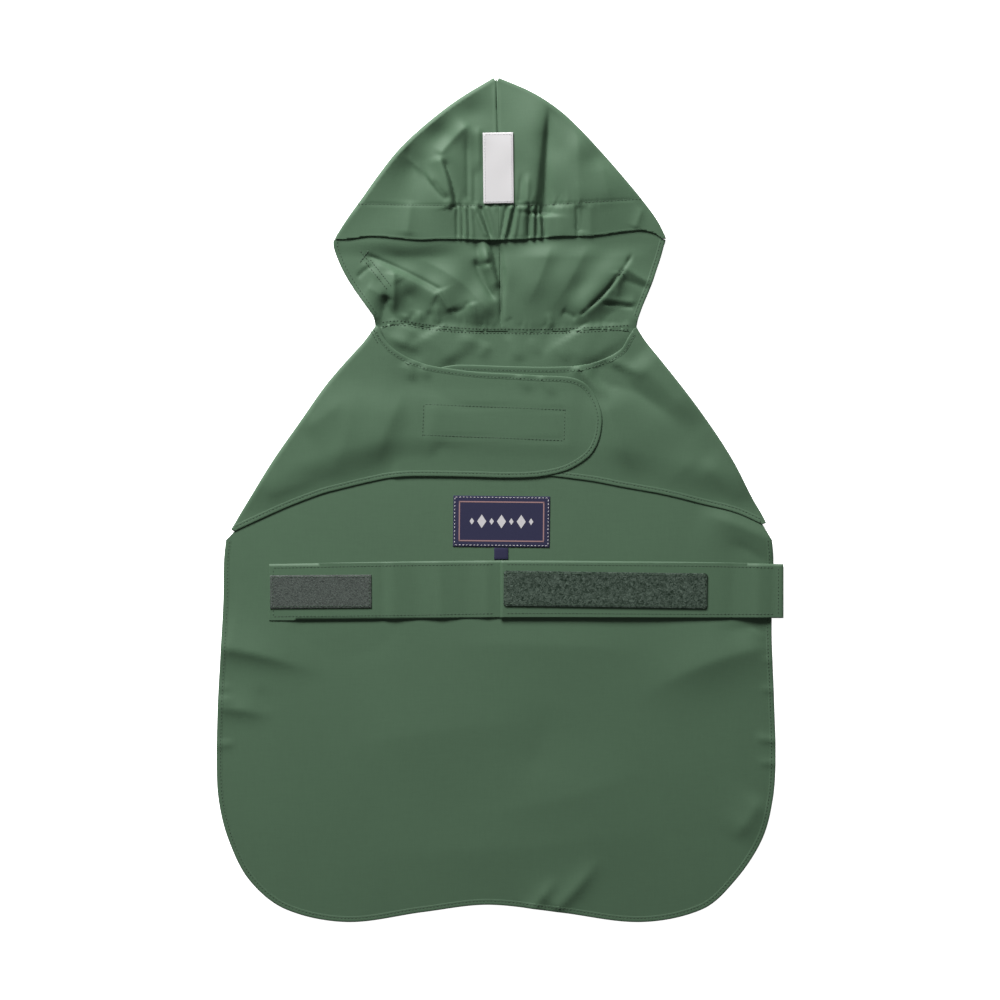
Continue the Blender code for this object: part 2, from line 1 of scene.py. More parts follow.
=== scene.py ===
"""A hooded dog coat of green coated cloth, laid flat on its back with the inside up.

Sizes in the tables are millimetres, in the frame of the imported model: X runs across the
coat, Y along it towards the hood, Z up from the surface that it lies on.
"""
import math
import random

import bmesh
import bpy
import numpy as np
from mathutils import Matrix, Vector


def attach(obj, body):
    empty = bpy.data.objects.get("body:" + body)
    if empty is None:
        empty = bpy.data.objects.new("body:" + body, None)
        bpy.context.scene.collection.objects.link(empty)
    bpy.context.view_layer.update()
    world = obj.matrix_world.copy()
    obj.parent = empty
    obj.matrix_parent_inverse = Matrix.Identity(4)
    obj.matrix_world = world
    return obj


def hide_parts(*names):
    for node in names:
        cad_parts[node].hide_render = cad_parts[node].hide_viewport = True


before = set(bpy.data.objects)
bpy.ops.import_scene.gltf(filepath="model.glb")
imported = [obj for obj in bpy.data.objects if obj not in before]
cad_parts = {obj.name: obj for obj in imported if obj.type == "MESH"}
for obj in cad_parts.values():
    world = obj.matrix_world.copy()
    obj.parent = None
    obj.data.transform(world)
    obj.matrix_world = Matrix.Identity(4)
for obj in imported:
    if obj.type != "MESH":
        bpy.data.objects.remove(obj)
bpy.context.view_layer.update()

# ------------------------------------------------------------------ back panel and chest flaps
# The coat's body is one cut piece of thin coated cloth. Its two chest flaps fold over at the
# shoulders, and the left one closes over the right one. All its free edges are turned and
# topstitched, and the tapes sewn under the chest show as a stitched rectangle.
MM = 0.001
CLOTH = 0.5             # thickness of the cloth
BODY_PITCH = 2.5        # the body's grid
REST = 0.4              # middle of a layer that lies on the surface
ON_CLOTH = CLOTH + 0.15     # from a layer's middle to that of one that touches it
FLAP_AT_SHOULDER = 3.4  # heights of a flap at its fold, of the right flap where it lies flat,
FLAP_LAID = 1.9
FLAP_ON_FLAP = 0.62     # and of the left flap over the right one
FLAP_SLOPE = 70.0       # over this length beside its fold the right flap comes down
FLAP_EDGE_REACH = 30.0  # how far from its lower edge a flap comes down onto the back
CHEST_TAPES = 0.45      # what the hidden tapes lift the left flap by,
TAPE_SLOPE = 14.0       # and how far beside them it is down again
STITCH_GROOVE = 0.3     # how deep the chest stitches pull the left flap down
FOLD_INSET = 3.0        # from a folded edge's outside to its flat layers
FOLD_STEPS = 6
HEM_STITCHES = 3.0      # from an edge to the stitches of its turned hem
CHEST_STITCHES = 1.0    # from the hidden tapes' edges to their stitches
#    from the edge, height above the middle of the cloth
HEM_PROFILE = ((-0.05, -0.2), (0.0, 0.1), (0.3, 0.38), (0.9, 0.46), (2.4, 0.44), (3.0, 0.3),
               (3.6, 0.42), (4.2, 0.34), (4.6, 0.1))

#    y, left x, right x
SIDES = (
    (131, -93, 101.5), (120, -101, 108.5), (105, -114.5, 120.5), (90, -127.5, 132.5),
    (60, -149, 155), (30, -170, 174.5), (0, -188.5, 190), (-15, -197.5, 198.5),
    (-30, -205.5, 203.8), (-45, -207, 205), (-75, -207.5, 204), (-105, -209, 203.8),
    (-150, -211.5, 205.5), (-195, -212.5, 206.6), (-225, -211, 204.5), (-255, -203.5, 196.3))
LEFT, RIGHT = 1, 2      # columns of SIDES and HOOD_SIDES
LEFT_FLAP_FOOT = -22.0
RIGHT_FLAP_FOOT = -17.0
#    x, y
HEM = (
    (-188, -285), (-161, -306.8), (-114.5, -316.5), (-57.5, -309), (-9.5, -303.5), (43, -309),
    (105.5, -316.5), (152, -306.8), (176.6, -285))
NECK_SEAM = (
    (-93, 132), (-75, 133.5), (-52, 130.3), (-36, 128.7), (-17, 127.6), (3, 127.5), (23, 127.2),
    (54, 128), (77, 129), (101.5, 130.5))
LEFT_FLAP_EDGE = (
    (-175, -12.4), (-157, -4.5), (-133, 4.5), (-115, 9.2), (-97, 13.5), (-82, 16.4), (-67, 17.6),
    (-27, 17.3), (5, 16.5), (28, 17.3), (47, 21), (59.6, 27), (68.6, 34.5), (73.9, 44.3),
    (76.2, 55.5), (75.8, 65.3), (71.6, 77.3), (64.1, 87), (53, 91.9), (28, 93.4), (10, 94.5),
    (-17, 96), (-36, 98.3), (-51.5, 100.7), (-65, 105), (-74, 109.5), (-81.5, 114.8),
    (-87.5, 122.3))
RIGHT_FLAP_EDGE = (
    (176.6, -9.4), (152.6, -3.4), (123.4, 3.8), (90.4, 9.8), (71.6, 13.5), (55, 15.8), (35.6, 18),
    (0, 18.8), (-28, 20.5), (-50, 25), (-63, 33.5), (-70.5, 46), (-73, 60), (-70.5, 75),
    (-62, 88.5), (-51, 97), (-36, 101), (-22, 101.3), (0, 100.5), (31, 99.8), (45, 100),
    (57, 100.6), (68, 102.5), (75.5, 104.8), (84.5, 109), (91.5, 114), (96, 122))
CHEST_FASTENER = (-4.6, 58.2, 108.0, 25.0, -2.3)    # centre x, y, length, width, turn

SOFT = 10.0             # how round a form is at its given heights

# Creases: each row is a ridge, or a trough where its height is negative. It runs from
# (x0, y0) to (x1, y1), bows aside to its left by bow, falls away over the widths on its left
# and its right, and fades in and out over those shares of its length. A table's heights are
# multiplied by the depth of its cloth.
BACK_DEPTH, RIGHT_FLAP_DEPTH, LEFT_FLAP_DEPTH = 1.4, 2.5, 2.2
#    x0, y0, x1, y1, bow, left, right, height, in, out
BACK_CREASES = (
    (-216, -110, -128, -133, 3, 20, 7, 2.1, 0.15, 0.7),
    (-216, -155, -168, -163, 1, 12, 5.5, 1.4, 0.2, 0.6),
    (-180, -139, -172, -160, 0, 5, 5, -0.3, 0.4, 0.4),
    (208, -108, 98, -152, -6, 17, 30, 2.6, 0.2, 0.6),
    (-162, -96, -70, -98, 0, 8, 12, -1, 0.3, 0.4),
    (208, -94, 160, -98, 0, 12, 7, -1, 0.1, 0.5),
    (186, -95, 200, -106, 0, 2, 2, 0.5, 0.3, 0.3),
    (146, -9, 212, -34, 2, 9, 15, 2, 0.4, 0.1),
    (168, -30, 206, -52, 2, 5, 6, -0.7, 0.4, 0.3),
    (197, -220, 172, -256, 3, 9, 12, 1.3, 0.3, 0.4),
    (22, -309, 45, -280, -1, 6, 4, 1.2, 0.1, 0.6),
    (40, -309, 78, -264, -2, 8, 5, 1.5, 0.1, 0.6),
    (-150, -200, 60, -170, 12, 40, 50, 0.9, 0.4, 0.4),
    (-120, -262, 150, -240, -10, 36, 44, 0.8, 0.4, 0.4),
    (120, -196, -30, -236, 8, 30, 26, 0.7, 0.4, 0.4),
    (-60, -110, 130, -116, 4, 18, 34, 0.8, 0.4, 0.4),
    (36, -150, 18, -214, 4, 22, 18, -0.5, 0.4, 0.4),
    (196, -120, 208, -121, 0, 1.6, 1.6, 0.5, 0.4, 0.1),
    (194, -141, 208, -143, 0, 2.2, 2.2, 0.6, 0.4, 0.1),
    (190, -178, 208, -181, 0, 3, 2.4, 0.8, 0.4, 0.1),
    (192, -196, 208, -198, 0, 2.4, 2, 0.6, 0.4, 0.1),
    (-200, -141, -214, -141, 0, 1.8, 1.8, 0.5, 0.4, 0.1),
    (-198, -149, -214, -150, 0, 1.8, 1.8, 0.5, 0.4, 0.1),
    (-198, -182, -214, -184, 0, 2.4, 2, 0.6, 0.4, 0.1),
    (-52, 128, -34, 100, 0, 14, 12, 1.5, 0.1, 0.3),
    (-20, 124, 6, 104, 3, 9, 7, -0.9, 0.3, 0.3),
    (4, 124, 17, 103, 0, 4, 4, 0.7, 0.2, 0.3),
    (34, 120, 70, 104, 0, 12, 12, 0.8, 0.3, 0.3),
    (-84, 124, -60, 112, 0, 4, 4, 0.7, 0.3, 0.3),
    (56, 127, 74, 100, 0, 26, 16, 1.5, 0.05, 0.3),
    (-66, 129, -76, 112, 0, 10, 12, 1, 0.05, 0.3),
    (-36, 122, 2, 110, 2, 4, 7, 0.8, 0.3, 0.3),
    (-72, 118, -58, 104, 0, 3, 3, -0.6, 0.3, 0.3),
    (-8, 118, -16, 106, 0, 2.4, 3, 0.5, 0.3, 0.3),
    (22, 122, 31, 108, 0, 2.4, 3.4, 0.5, 0.3, 0.3),
    (44, 114, 52, 104, 0, 2, 3, 0.5, 0.3, 0.3))
RIGHT_FLAP_CREASES = (
    (56, 101, 82, 74, 0, 4, 4, 1.3, 0.1, 0.5),
    (72, 92, 108, 2, -2, 24, 9, 1.4, 0.3, 0.5),
    (66, 100, 150, 42, 5, 11, 9, -1.4, 0.15, 0.6),
    (80, 106, 112, 92, 0, 4, 4, 0.8, 0.2, 0.5),
    (100, 108, 152, 54, 0, 18, 14, 1.2, 0.2, 0.4),
    (150, 34, 184, -10, 0, 10, 14, 0.7, 0.3, 0.3),
    (120, 8, 158, 40, 0, 12, 16, 0.5, 0.2, 0.5))
LEFT_FLAP_CREASES = (
    (-66, 90, -97, 8, -4, 13, 22, 1.3, 0.35, 0.5),
    (-44, 84, -58, 20, 0, 20, 12, 0.5, 0.3, 0.1),
    (-110, 92, -132, 8, 6, 22, 20, 0.8, 0.3, 0.2),
    (-150, 50, -112, 78, 0, 10, 12, 0.6, 0.3, 0.4),
    (-178, 2, -128, 20, 0, 8, 10, 0.7, 0.2, 0.5),
    (-70, 103, -64, 88, 0, 4, 3.5, 0.8, 0.1, 0.5),
    (-58, 100, -54, 90, 0, 2.5, 2, 0.6, 0.1, 0.5),
    (-48, 41, -27, 28, 0, 2.5, 3, -0.7, 0.2, 0.5),
    (-42, 32, -23, 20, 0, 2.5, 2.5, -0.6, 0.2, 0.4),
    (-32, 28, -18, 18.5, 0, 2, 2, -0.4, 0.2, 0.4),
    (14, 94, 24, 80, 0, 3, 3, 0.5, 0.1, 0.5),
    (30, 93, 42, 76, 0, 3.5, 3, 0.5, 0.1, 0.5),
    (-50, 84, 10, 78, 0, 9, 7, -0.6, 0.3, 0.4),
    (-4, 26, -8, 17, 0, 2, 2, 0.4, 0.3, 0.1),
    (12, 25, 10, 17, 0, 2, 2, 0.4, 0.3, 0.1))


def smooth(table, at, column=1):
    """The table's column where its first column is at, on a smooth curve through its rows."""
    rows = np.array(sorted(table), float)
    firsts, values = rows[:, 0], rows[:, column]
    slopes = np.gradient(values, firsts)
    at = np.clip(np.asarray(at, float), firsts[0], firsts[-1])
    i = np.clip(np.searchsorted(firsts, at) - 1, 0, len(firsts) - 2)
    span = firsts[i + 1] - firsts[i]
    t = (at - firsts[i]) / span
    return (values[i] * (1 + 2 * t) * (1 - t) ** 2 + slopes[i] * span * t * (1 - t) ** 2
            + values[i + 1] * t * t * (3 - 2 * t) - slopes[i + 1] * span * t * t * (1 - t))


def through(points, spacing):
    """Points about spacing apart on a smooth curve through the given points."""
    p = np.array(points, float)
    before = np.vstack([2 * p[0] - p[1], p[:-1]])
    after = np.vstack([p[1:], 2 * p[-1] - p[-2]])
    curve = []
    for i in range(len(p) - 1):
        a, b = p[i], p[i + 1]
        length = np.linalg.norm(b - a)
        go_in = (b - before[i]) * length / (np.linalg.norm(a - before[i]) + length)
        go_out = (after[i + 1] - a) * length / (np.linalg.norm(after[i + 1] - b) + length)
        steps = max(1, round(length / spacing))
        for t in np.arange(steps) / steps:
            curve.append(a * (1 + 2 * t) * (1 - t) ** 2 + go_in * t * (1 - t) ** 2
                         + b * t * t * (3 - 2 * t) - go_out * t * t * (1 - t))
    curve.append(p[-1])
    return [(float(x), float(y)) for x, y in curve]


def ease(value):
    """0 below 0, 1 above 1, and a soft slope between."""
    t = np.clip(value, 0.0, 1.0)
    return t * t * (3 - 2 * t)


def bell(off, width):
    """1 where off is 0, fading on both sides."""
    return np.exp(-(off / width) ** 2)


def creases(rows, x, y):
    """The height that the creases give at (x, y)."""
    total = np.zeros_like(x)
    for x0, y0, x1, y1, bow, left, right, height, fade_in, fade_out in rows:
        dx, dy = x1 - x0, y1 - y0
        length = math.hypot(dx, dy)
        along = ((x - x0) * dx + (y - y0) * dy) / length ** 2
        aside = ((y - y0) * dx - (x - x0) * dy) / length - 4 * bow * along * (1 - along)
        ends = ease(along / fade_in) * ease((1 - along) / fade_out)
        away = np.abs(aside) / np.where(aside > 0, left, right)
        total += height * ends * np.exp(-away ** 1.25)
    return total


def form(heights, x, y):
    """A stretched sheet through rows of x, y and height, softly creased at them."""
    rows = np.array(heights, float)

    def bend(gap):
        return np.sqrt(gap + SOFT ** 2)

    plane = np.column_stack([np.ones(len(rows)), rows[:, :2]])
    among = bend(((rows[:, None, :2] - rows[None, :, :2]) ** 2).sum(-1))
    system = np.block([[among, plane], [plane.T, np.zeros((3, 3))]])
    pull = np.linalg.solve(system, np.append(rows[:, 2], (0.0, 0.0, 0.0)))
    total = pull[-3] + pull[-2] * x + pull[-1] * y
    for (row_x, row_y, height), weight in zip(rows, pull):
        total = total + weight * bend((x - row_x) ** 2 + (y - row_y) ** 2)
    return total


def puckers(line, row, x, y):
    """Small uneven gathers across a stitched line, which is a table of y at x."""
    seed, start, end, spacing, height, reach = row
    chance = random.Random(seed)
    off_line = y - smooth(line, x)
    total = np.zeros_like(x)
    at = start
    while at < end:
        width = spacing * chance.uniform(0.22, 0.4)
        lift = height * chance.uniform(-1.0, 1.0)
        lean = chance.uniform(-0.5, 0.5)
        far = reach * chance.uniform(0.5, 1.3)
        total += lift * bell(off_line, far) * bell(x - at - lean * off_line, width)
        at += spacing * chance.uniform(0.7, 1.3)
    return total


def on_patch(patch, x, y):
    """How far (x, y) lies outside a turned rectangle's ends and sides."""
    cx, cy, length, width, turn = patch
    c, s = math.cos(math.radians(turn)), math.sin(math.radians(turn))
    along = (x - cx) * c + (y - cy) * s
    across = (y - cy) * c - (x - cx) * s
    return np.abs(along) - length / 2, np.abs(across) - width / 2


RIGHT_NECKLINE = RIGHT_FLAP_EDGE[-11:]
RIGHT_FLAP_FREE = RIGHT_FLAP_EDGE[:9]       # the flaps' free lower edges
LEFT_FLAP_FREE = LEFT_FLAP_EDGE[:10]
LEFT_FLAP_RIM = ((-100.0, 13.0), (-67.0, 17.6), (28.0, 17.3))

#    seed, start x, end x, spacing, height, reach
BACK_NECK_PUCKERS = (11, -92, 98, 3.4, 0.5, 5.0)
RIGHT_FLAP_PUCKERS = (5, 58, 96, 3.0, 0.7, 5.0)
LEFT_FLAP_PUCKERS = (8, -60, 20, 5.0, 0.25, 6.0)


def back_height(x, y):
    """The back lies on the surface, and is creased more deeply near the neck."""
    neck = puckers(NECK_SEAM, BACK_NECK_PUCKERS, x, y)
    folds = BACK_DEPTH * creases(BACK_CREASES, x, y) * (1 + 0.25 * ease((y - 90.0) / 15.0))
    return REST + np.maximum(folds + neck, -0.1)


def laid_down(height, free_edge, x, y):
    """A flap's height, brought down onto the back along its free lower edge."""
    near = 1 - ease((y - smooth(free_edge, x)) / FLAP_EDGE_REACH)
    return height * (1 - near) + (back_height(x, y) + ON_CLOTH) * near


def right_flap_height(x, y):
    """It comes down from its fold at the shoulder, and then lies flat on the back."""
    drop = ease((smooth(SIDES, y, RIGHT) - x) / FLAP_SLOPE)
    edge = puckers(RIGHT_NECKLINE, RIGHT_FLAP_PUCKERS, x, y)
    lies = (FLAP_AT_SHOULDER + (FLAP_LAID - FLAP_AT_SHOULDER) * drop
            + RIGHT_FLAP_DEPTH * creases(RIGHT_FLAP_CREASES, x, y) + edge)
    return np.maximum(laid_down(lies, RIGHT_FLAP_FREE, x, y), REST + ON_CLOTH)


def left_flap_height(x, y):
    """Beside the shoulder it lies on the back; further in, on the right flap and the tapes."""
    along, across = on_patch(CHEST_FASTENER, x, y)
    beyond = np.hypot(np.maximum(along, 0.0), np.maximum(across, 0.0))
    over_tapes = CHEST_TAPES * (1 - ease((beyond - 0.5) / TAPE_SLOPE))
    stitched = STITCH_GROOVE * bell(np.maximum(along, across) + CHEST_STITCHES, 0.9)
    over_flap = right_flap_height(x, y) + FLAP_ON_FLAP + over_tapes - stitched
    onto_flap = ease((x + 96.0 + 0.25 * (60.0 - y)) / 22.0)     # from the right flap's hidden end
    edge = puckers(LEFT_FLAP_RIM, LEFT_FLAP_PUCKERS, x, y)
    lies = (FLAP_AT_SHOULDER * (1 - onto_flap) + over_flap * onto_flap
            + LEFT_FLAP_DEPTH * creases(LEFT_FLAP_CREASES, x, y) + edge)
    lies = laid_down(lies, LEFT_FLAP_FREE, x, y)
    return np.maximum(lies, np.maximum(over_flap * ease((x + 86.0) / 9.0), REST + ON_CLOTH))


def fold_line(table, column, top, bottom, spacing):
    """Points down a folded side, set in from its outside by FOLD_INSET."""
    ys = np.linspace(top, bottom, round((top - bottom) / spacing) + 1)
    xs = smooth(table, ys, column)
    slope = np.gradient(xs, ys)
    inward = 1.0 if column == LEFT else -1.0
    size = np.hypot(1.0, slope)
    return [(float(x + inward * FOLD_INSET / s), float(y - inward * FOLD_INSET * m / s))
            for x, y, m, s in zip(xs, ys, slope, size)]


def cut_cloth(cloth, outline, layer, pitch):
    """Cut a flat piece of that outline, at the height of its layer's number, into a grid."""
    ahead = [cloth.faces.new([cloth.verts.new((x, y, layer)) for x, y in outline])]
    for way in (Vector((1, 0, 0)), Vector((0, 1, 0))):
        reach = [vert.co.dot(way) for face in ahead for vert in face.verts]
        done = []
        for k in range(math.ceil(min(reach) / pitch), math.floor(max(reach) / pitch) + 1):
            parts = dict.fromkeys(part for face in ahead for part in (*face.verts, *face.edges))
            found = bmesh.ops.bisect_plane(cloth, geom=ahead + list(parts), dist=pitch * 0.08,
                                           plane_co=way * k * pitch, plane_no=way)
            faces = [part for part in found["geom"] if isinstance(part, bmesh.types.BMFace)]
            ahead = [f for f in faces if f.calc_center_bounds().dot(way) > k * pitch]
            done += [f for f in faces if f.calc_center_bounds().dot(way) <= k * pitch]
        ahead = done + ahead


def turn_over(cloth, edge, up=1):
    """Extrude those edges in small steps from layer 0 to layer 1 or -1."""
    for step in range(FOLD_STEPS):
        made = bmesh.ops.extrude_edge_only(cloth, edges=edge)["geom"]
        edge = [part for part in made if isinstance(part, bmesh.types.BMEdge)]
        bmesh.ops.translate(cloth, vec=(0, 0, up / FOLD_STEPS),
                            verts=[part for part in made if isinstance(part, bmesh.types.BMVert)])


def fold_over(cloth, line, up=1):
    """Carry the cloth round a folded edge, which is that line on layer 0."""
    ends = np.array(sorted(line, key=lambda point: point[1]))

    def on_line(vert):
        return (abs(vert.co.z) < 0.001 and ends[0][1] - 0.01 <= vert.co.y <= ends[-1][1] + 0.01
                and abs(np.interp(vert.co.y, ends[:, 1], ends[:, 0]) - vert.co.x) < 0.01)

    turn_over(cloth, [e for e in cloth.edges if e.is_boundary and all(map(on_line, e.verts))], up)
    bmesh.ops.remove_doubles(cloth, verts=[v for v in cloth.verts if v.is_boundary], dist=0.02)


def shape_cloth(cloth, low_height, high_height, down_height, fold_table, middle_x):
    """Give each point of a folded cloth its height: layer 0 is the low one, 1 and -1 are two
    that lie on it, and points between go round a folded edge."""
    verts = list(cloth.verts)
    x, y, layer = np.array([vert.co for vert in verts]).T
    low = low_height(x, y)
    high = np.where(layer >= 0, high_height(x, y), down_height(x, y))
    layer = np.abs(layer)
    on_left = x < middle_x
    slope = np.where(on_left,
                     smooth(fold_table, y + 0.5, LEFT) - smooth(fold_table, y - 0.5, LEFT),
                     smooth(fold_table, y + 0.5, RIGHT) - smooth(fold_table, y - 0.5, RIGHT))
    angle = math.pi * (layer - 0.5)
    bulge = np.where((layer > 0) & (layer < 1), (FOLD_INSET - CLOTH / 2) * np.cos(angle), 0.0)
    bulge *= np.where(on_left, -1.0, 1.0) / np.hypot(1.0, slope)
    z = (low + high) / 2 + (high - low) / 2 * np.sin(angle)
    for vert, px, py, pz in zip(verts, x + bulge, y - bulge * slope, z):
        vert.co = (px, py, pz)


def beside(line, distance):
    """The line moved sideways to its left, which is inward on every outline here."""
    p = np.array(line, float)
    ahead = np.gradient(p, axis=0)
    ahead /= np.linalg.norm(ahead, axis=1, keepdims=True)
    return p + distance * np.column_stack([-ahead[:, 1], ahead[:, 0]])


def add_to(whole, shape):
    """Put a finished shape into a larger mesh."""
    made = bpy.data.meshes.new("shape")
    shape.to_mesh(made)
    shape.free()
    whole.from_mesh(made)
    bpy.data.meshes.remove(made)


def hem_band(band, line, height, profile):
    """Lay a turned hem's cross profile along an edge, on a surface of that height."""
    grid = bmesh.new()
    long, wide = len(line) - 1, len(profile) - 1
    bmesh.ops.create_grid(grid, x_segments=long, y_segments=wide, size=0.5)
    lines = np.array([beside(line, distance) for distance, lift in profile])
    heights = height(lines[..., 0].ravel(), lines[..., 1].ravel()).reshape(lines.shape[:2])
    for vert in grid.verts:
        i, j = round((vert.co.x + 0.5) * long), round((vert.co.y + 0.5) * wide)
        vert.co = (*lines[j, i], heights[j, i] + profile[j][1])
    add_to(band, grid)


def sew(thread, line, height, seed, gap=2.7, long=1.0, lift=0.42):
    """Lay a row of stitches along a line, each a little out of place. Long is half a stitch's
    length, and lift its height above the middle of the cloth."""
    chance = random.Random(seed)
    p = np.array(line, float)
    steps = np.linalg.norm(np.diff(p, axis=0), axis=1)
    run = np.concatenate([[0.0], np.cumsum(steps)])
    at = np.arange(gap / 2, run[-1], gap)
    xs, ys = np.interp(at, run, p[:, 0]), np.interp(at, run, p[:, 1])
    zs = height(xs, ys) + lift
    turns = np.arctan2(np.interp(at + 0.5, run, p[:, 1]) - ys,
                       np.interp(at + 0.5, run, p[:, 0]) - xs)
    row = bmesh.new()
    for x, y, z, turn in zip(xs, ys, zs, turns):
        lay = (Matrix.Translation((x, y, z))
               @ Matrix.Rotation(turn + chance.uniform(-0.08, 0.08), 4, "Z")
               @ Matrix.Diagonal((long * chance.uniform(0.9, 1.1), 0.3, 0.24, 1)))
        bmesh.ops.create_icosphere(row, subdivisions=1, radius=1.0, matrix=lay)
    add_to(thread, row)


def make_piece(shape, name, material, thickness=0.0):
    """Finish a mesh made in millimetres as one piece that rides with the coat."""
    bmesh.ops.scale(shape, vec=(MM, MM, MM), verts=shape.verts)
    mesh = bpy.data.meshes.new(name)
    shape.to_mesh(mesh)
    shape.free()
    mesh.materials.append(material)
    mesh.shade_smooth()
    piece = bpy.data.objects.new(name, mesh)
    bpy.context.scene.collection.objects.link(piece)
    if thickness:
        wall = piece.modifiers.new("wall", "SOLIDIFY")
        wall.thickness = thickness * MM
        wall.offset = 0.0
    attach(piece, "root")
    return piece


THREADS, SLUBS, CLOUDS = 520.0, 900.0, 14.0     # scales of the cloth's textures
WEAVE_RELIEF = 0.35
MOTTLE = 0.06           # how far the cloudy tone goes up and down


def cloth_material(name, colour, roughness):
    """Fine plain-weave cloth with a smooth coating: faint threads, slubs and cloudy tone."""
    made = bpy.data.materials.new(name)
    made.use_nodes = True
    nodes, links = made.node_tree.nodes, made.node_tree.links
    shader = nodes["Principled BSDF"]
    shader.inputs["Roughness"].default_value = roughness
    shader.inputs["Specular IOR Level"].default_value = 0.28
    shader.inputs["Sheen Weight"].default_value = 0.04
    shader.inputs["Sheen Roughness"].default_value = 0.4
    where = nodes.new("ShaderNodeTexCoord")

    def noise_at(scale, stretch, detail):
        mapping = nodes.new("ShaderNodeMapping")
        mapping.inputs["Scale"].default_value = stretch
        links.new(where.outputs["Object"], mapping.inputs["Vector"])
        made_noise = nodes.new("ShaderNodeTexNoise")
        made_noise.inputs["Scale"].default_value = scale
        made_noise.inputs["Detail"].default_value = detail
        links.new(mapping.outputs["Vector"], made_noise.inputs["Vector"])
        return made_noise.outputs["Fac"]

    def mixed(kind, a, b):
        node = nodes.new("ShaderNodeMath")
        node.operation = kind
        for socket, value in zip(node.inputs, (a, b)):
            if isinstance(value, float):
                socket.default_value = value
            else:
                links.new(value, socket)
        return node.outputs["Value"]

    def threads(direction):
        wave = nodes.new("ShaderNodeTexWave")
        wave.bands_direction = direction
        wave.inputs["Scale"].default_value = THREADS
        wave.inputs["Distortion"].default_value = 0.6
        wave.inputs["Detail"].default_value = 1.0
        wave.inputs["Detail Scale"].default_value = 0.4
        links.new(where.outputs["Object"], wave.inputs["Vector"])
        return wave.outputs["Fac"]

    cloudy = noise_at(CLOUDS, (1, 1, 1), 3.0)
    slub_across = noise_at(SLUBS, (0.12, 1, 1), 2.0)
    slub_along = noise_at(SLUBS, (1, 0.12, 1), 2.0)
    weft_and_warp = mixed("MULTIPLY", threads("X"), threads("Y"))
    grain = mixed("ADD", mixed("MULTIPLY", slub_across, 0.5), mixed("MULTIPLY", slub_along, 0.5))
    tone = mixed("ADD", mixed("MULTIPLY", cloudy, 2 * MOTTLE), mixed("MULTIPLY", grain, 0.22))
    tone = mixed("ADD", tone, 1.0 - MOTTLE - 0.11)
    tint = nodes.new("ShaderNodeMix")
    tint.data_type = "RGBA"
    tint.blend_type = "MULTIPLY"
    tint.inputs["Factor"].default_value = 1.0
    tint.inputs["A"].default_value = (*colour, 1.0)
    links.new(tone, tint.inputs["B"])
    links.new(tint.outputs["Result"], shader.inputs["Base Color"])
    relief = mixed("ADD", mixed("MULTIPLY", weft_and_warp, WEAVE_RELIEF),
                   mixed("MULTIPLY", grain, 0.5))
    bump = nodes.new("ShaderNodeBump")
    bump.inputs["Strength"].default_value = 0.35
    bump.inputs["Distance"].default_value = 0.00012
    links.new(relief, bump.inputs["Height"])
    links.new(bump.outputs["Normal"], shader.inputs["Normal"])
    return made


coat_cloth = cloth_material("coat_cloth", (0.040, 0.079, 0.044), 0.66)

left_fold = fold_line(SIDES, LEFT, 131.0, LEFT_FLAP_FOOT, BODY_PITCH)
right_fold = fold_line(SIDES, RIGHT, 129.5, RIGHT_FLAP_FOOT, BODY_PITCH)
neck_edge = through([left_fold[0]] + [(x, y + 1.0) for x, y in NECK_SEAM[1:-1]]
                    + [right_fold[0]], BODY_PITCH)
side_rows = [y for y, left, right in SIDES if y < RIGHT_FLAP_FOOT - 10]
hem_edge = through([(float(smooth(SIDES, y, LEFT)), y) for y in side_rows] + list(HEM)
                   + [(float(smooth(SIDES, y, RIGHT)), y) for y in side_rows[::-1]], BODY_PITCH)
body = bmesh.new()
back_outline = neck_edge[::-1][:-1] + left_fold + hem_edge + right_fold[::-1][:-1]
cut_cloth(body, back_outline, 0, BODY_PITCH)
flap_edges = {}
for fold, flap_edge, layer in ((left_fold, LEFT_FLAP_EDGE, 1), (right_fold, RIGHT_FLAP_EDGE, -1)):
    flap_edges[layer] = through([fold[-1]] + list(flap_edge) + [fold[0]], BODY_PITCH)[1:-1]
    cut_cloth(body, fold + flap_edges[layer], layer, BODY_PITCH)
    fold_over(body, fold, layer)
bmesh.ops.recalc_face_normals(body, faces=body.faces)
shape_cloth(body, back_height, left_flap_height, right_flap_height, SIDES, 0.0)
coat = make_piece(body, "coat_body_cloth", coat_cloth, CLOTH)
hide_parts("coat_body")

body_hems, body_thread = bmesh.new(), bmesh.new()
for line, height, seed in ((hem_edge, back_height, 1), (flap_edges[1], left_flap_height, 2),
                           (flap_edges[-1][::-1], right_flap_height, 3)):
    hem_band(body_hems, line, height, HEM_PROFILE)
    sew(body_thread, beside(line, HEM_STITCHES), height, seed)
bmesh.ops.recalc_face_normals(body_hems, faces=body_hems.faces)
make_piece(body_hems, "coat_body_hems", coat_cloth)
# The stitches' thread is a darker green than the cloth: partly the thread's own colour, and partly
# painted shade standing in for the shadows in its needle holes.
thread_green_painted_shade = cloth_material("thread_green_painted_shade", (0.026, 0.050, 0.029), 0.6)
make_piece(body_thread, "coat_body_stitches", thread_green_painted_shade)

# ------------------------------------------------------------------ hood
# Two halves of the same cloth, joined by a centre seam from crown to brim and at the back.
# Each half wraps from the front over a soft fold at the side to the back, where it is sewn
# to the neck with two rows of stitches. The brim is a 25 mm casing gathered by elastic.
HOOD_PITCH = 1.2
CASING_TOP = 220.8
BRIM_Y = 196.0

#    y, left x, right x
HOOD_SIDES = (
    (316.5, -5, -1), (312.5, -11.5, 9), (307.5, -20, 20.5), (298.5, -34, 36), (289.5, -46, 48),
    (280.5, -57, 57.5), (262.5, -76, 74.6), (244.5, -90.4, 90.4), (226.5, -103.2, 105.4),
    (208.5, -116, 118.5), (197, -123.4, 124.3))
HOOD_CORNER = 197.0     # where the side's fold ends and the open back edge begins
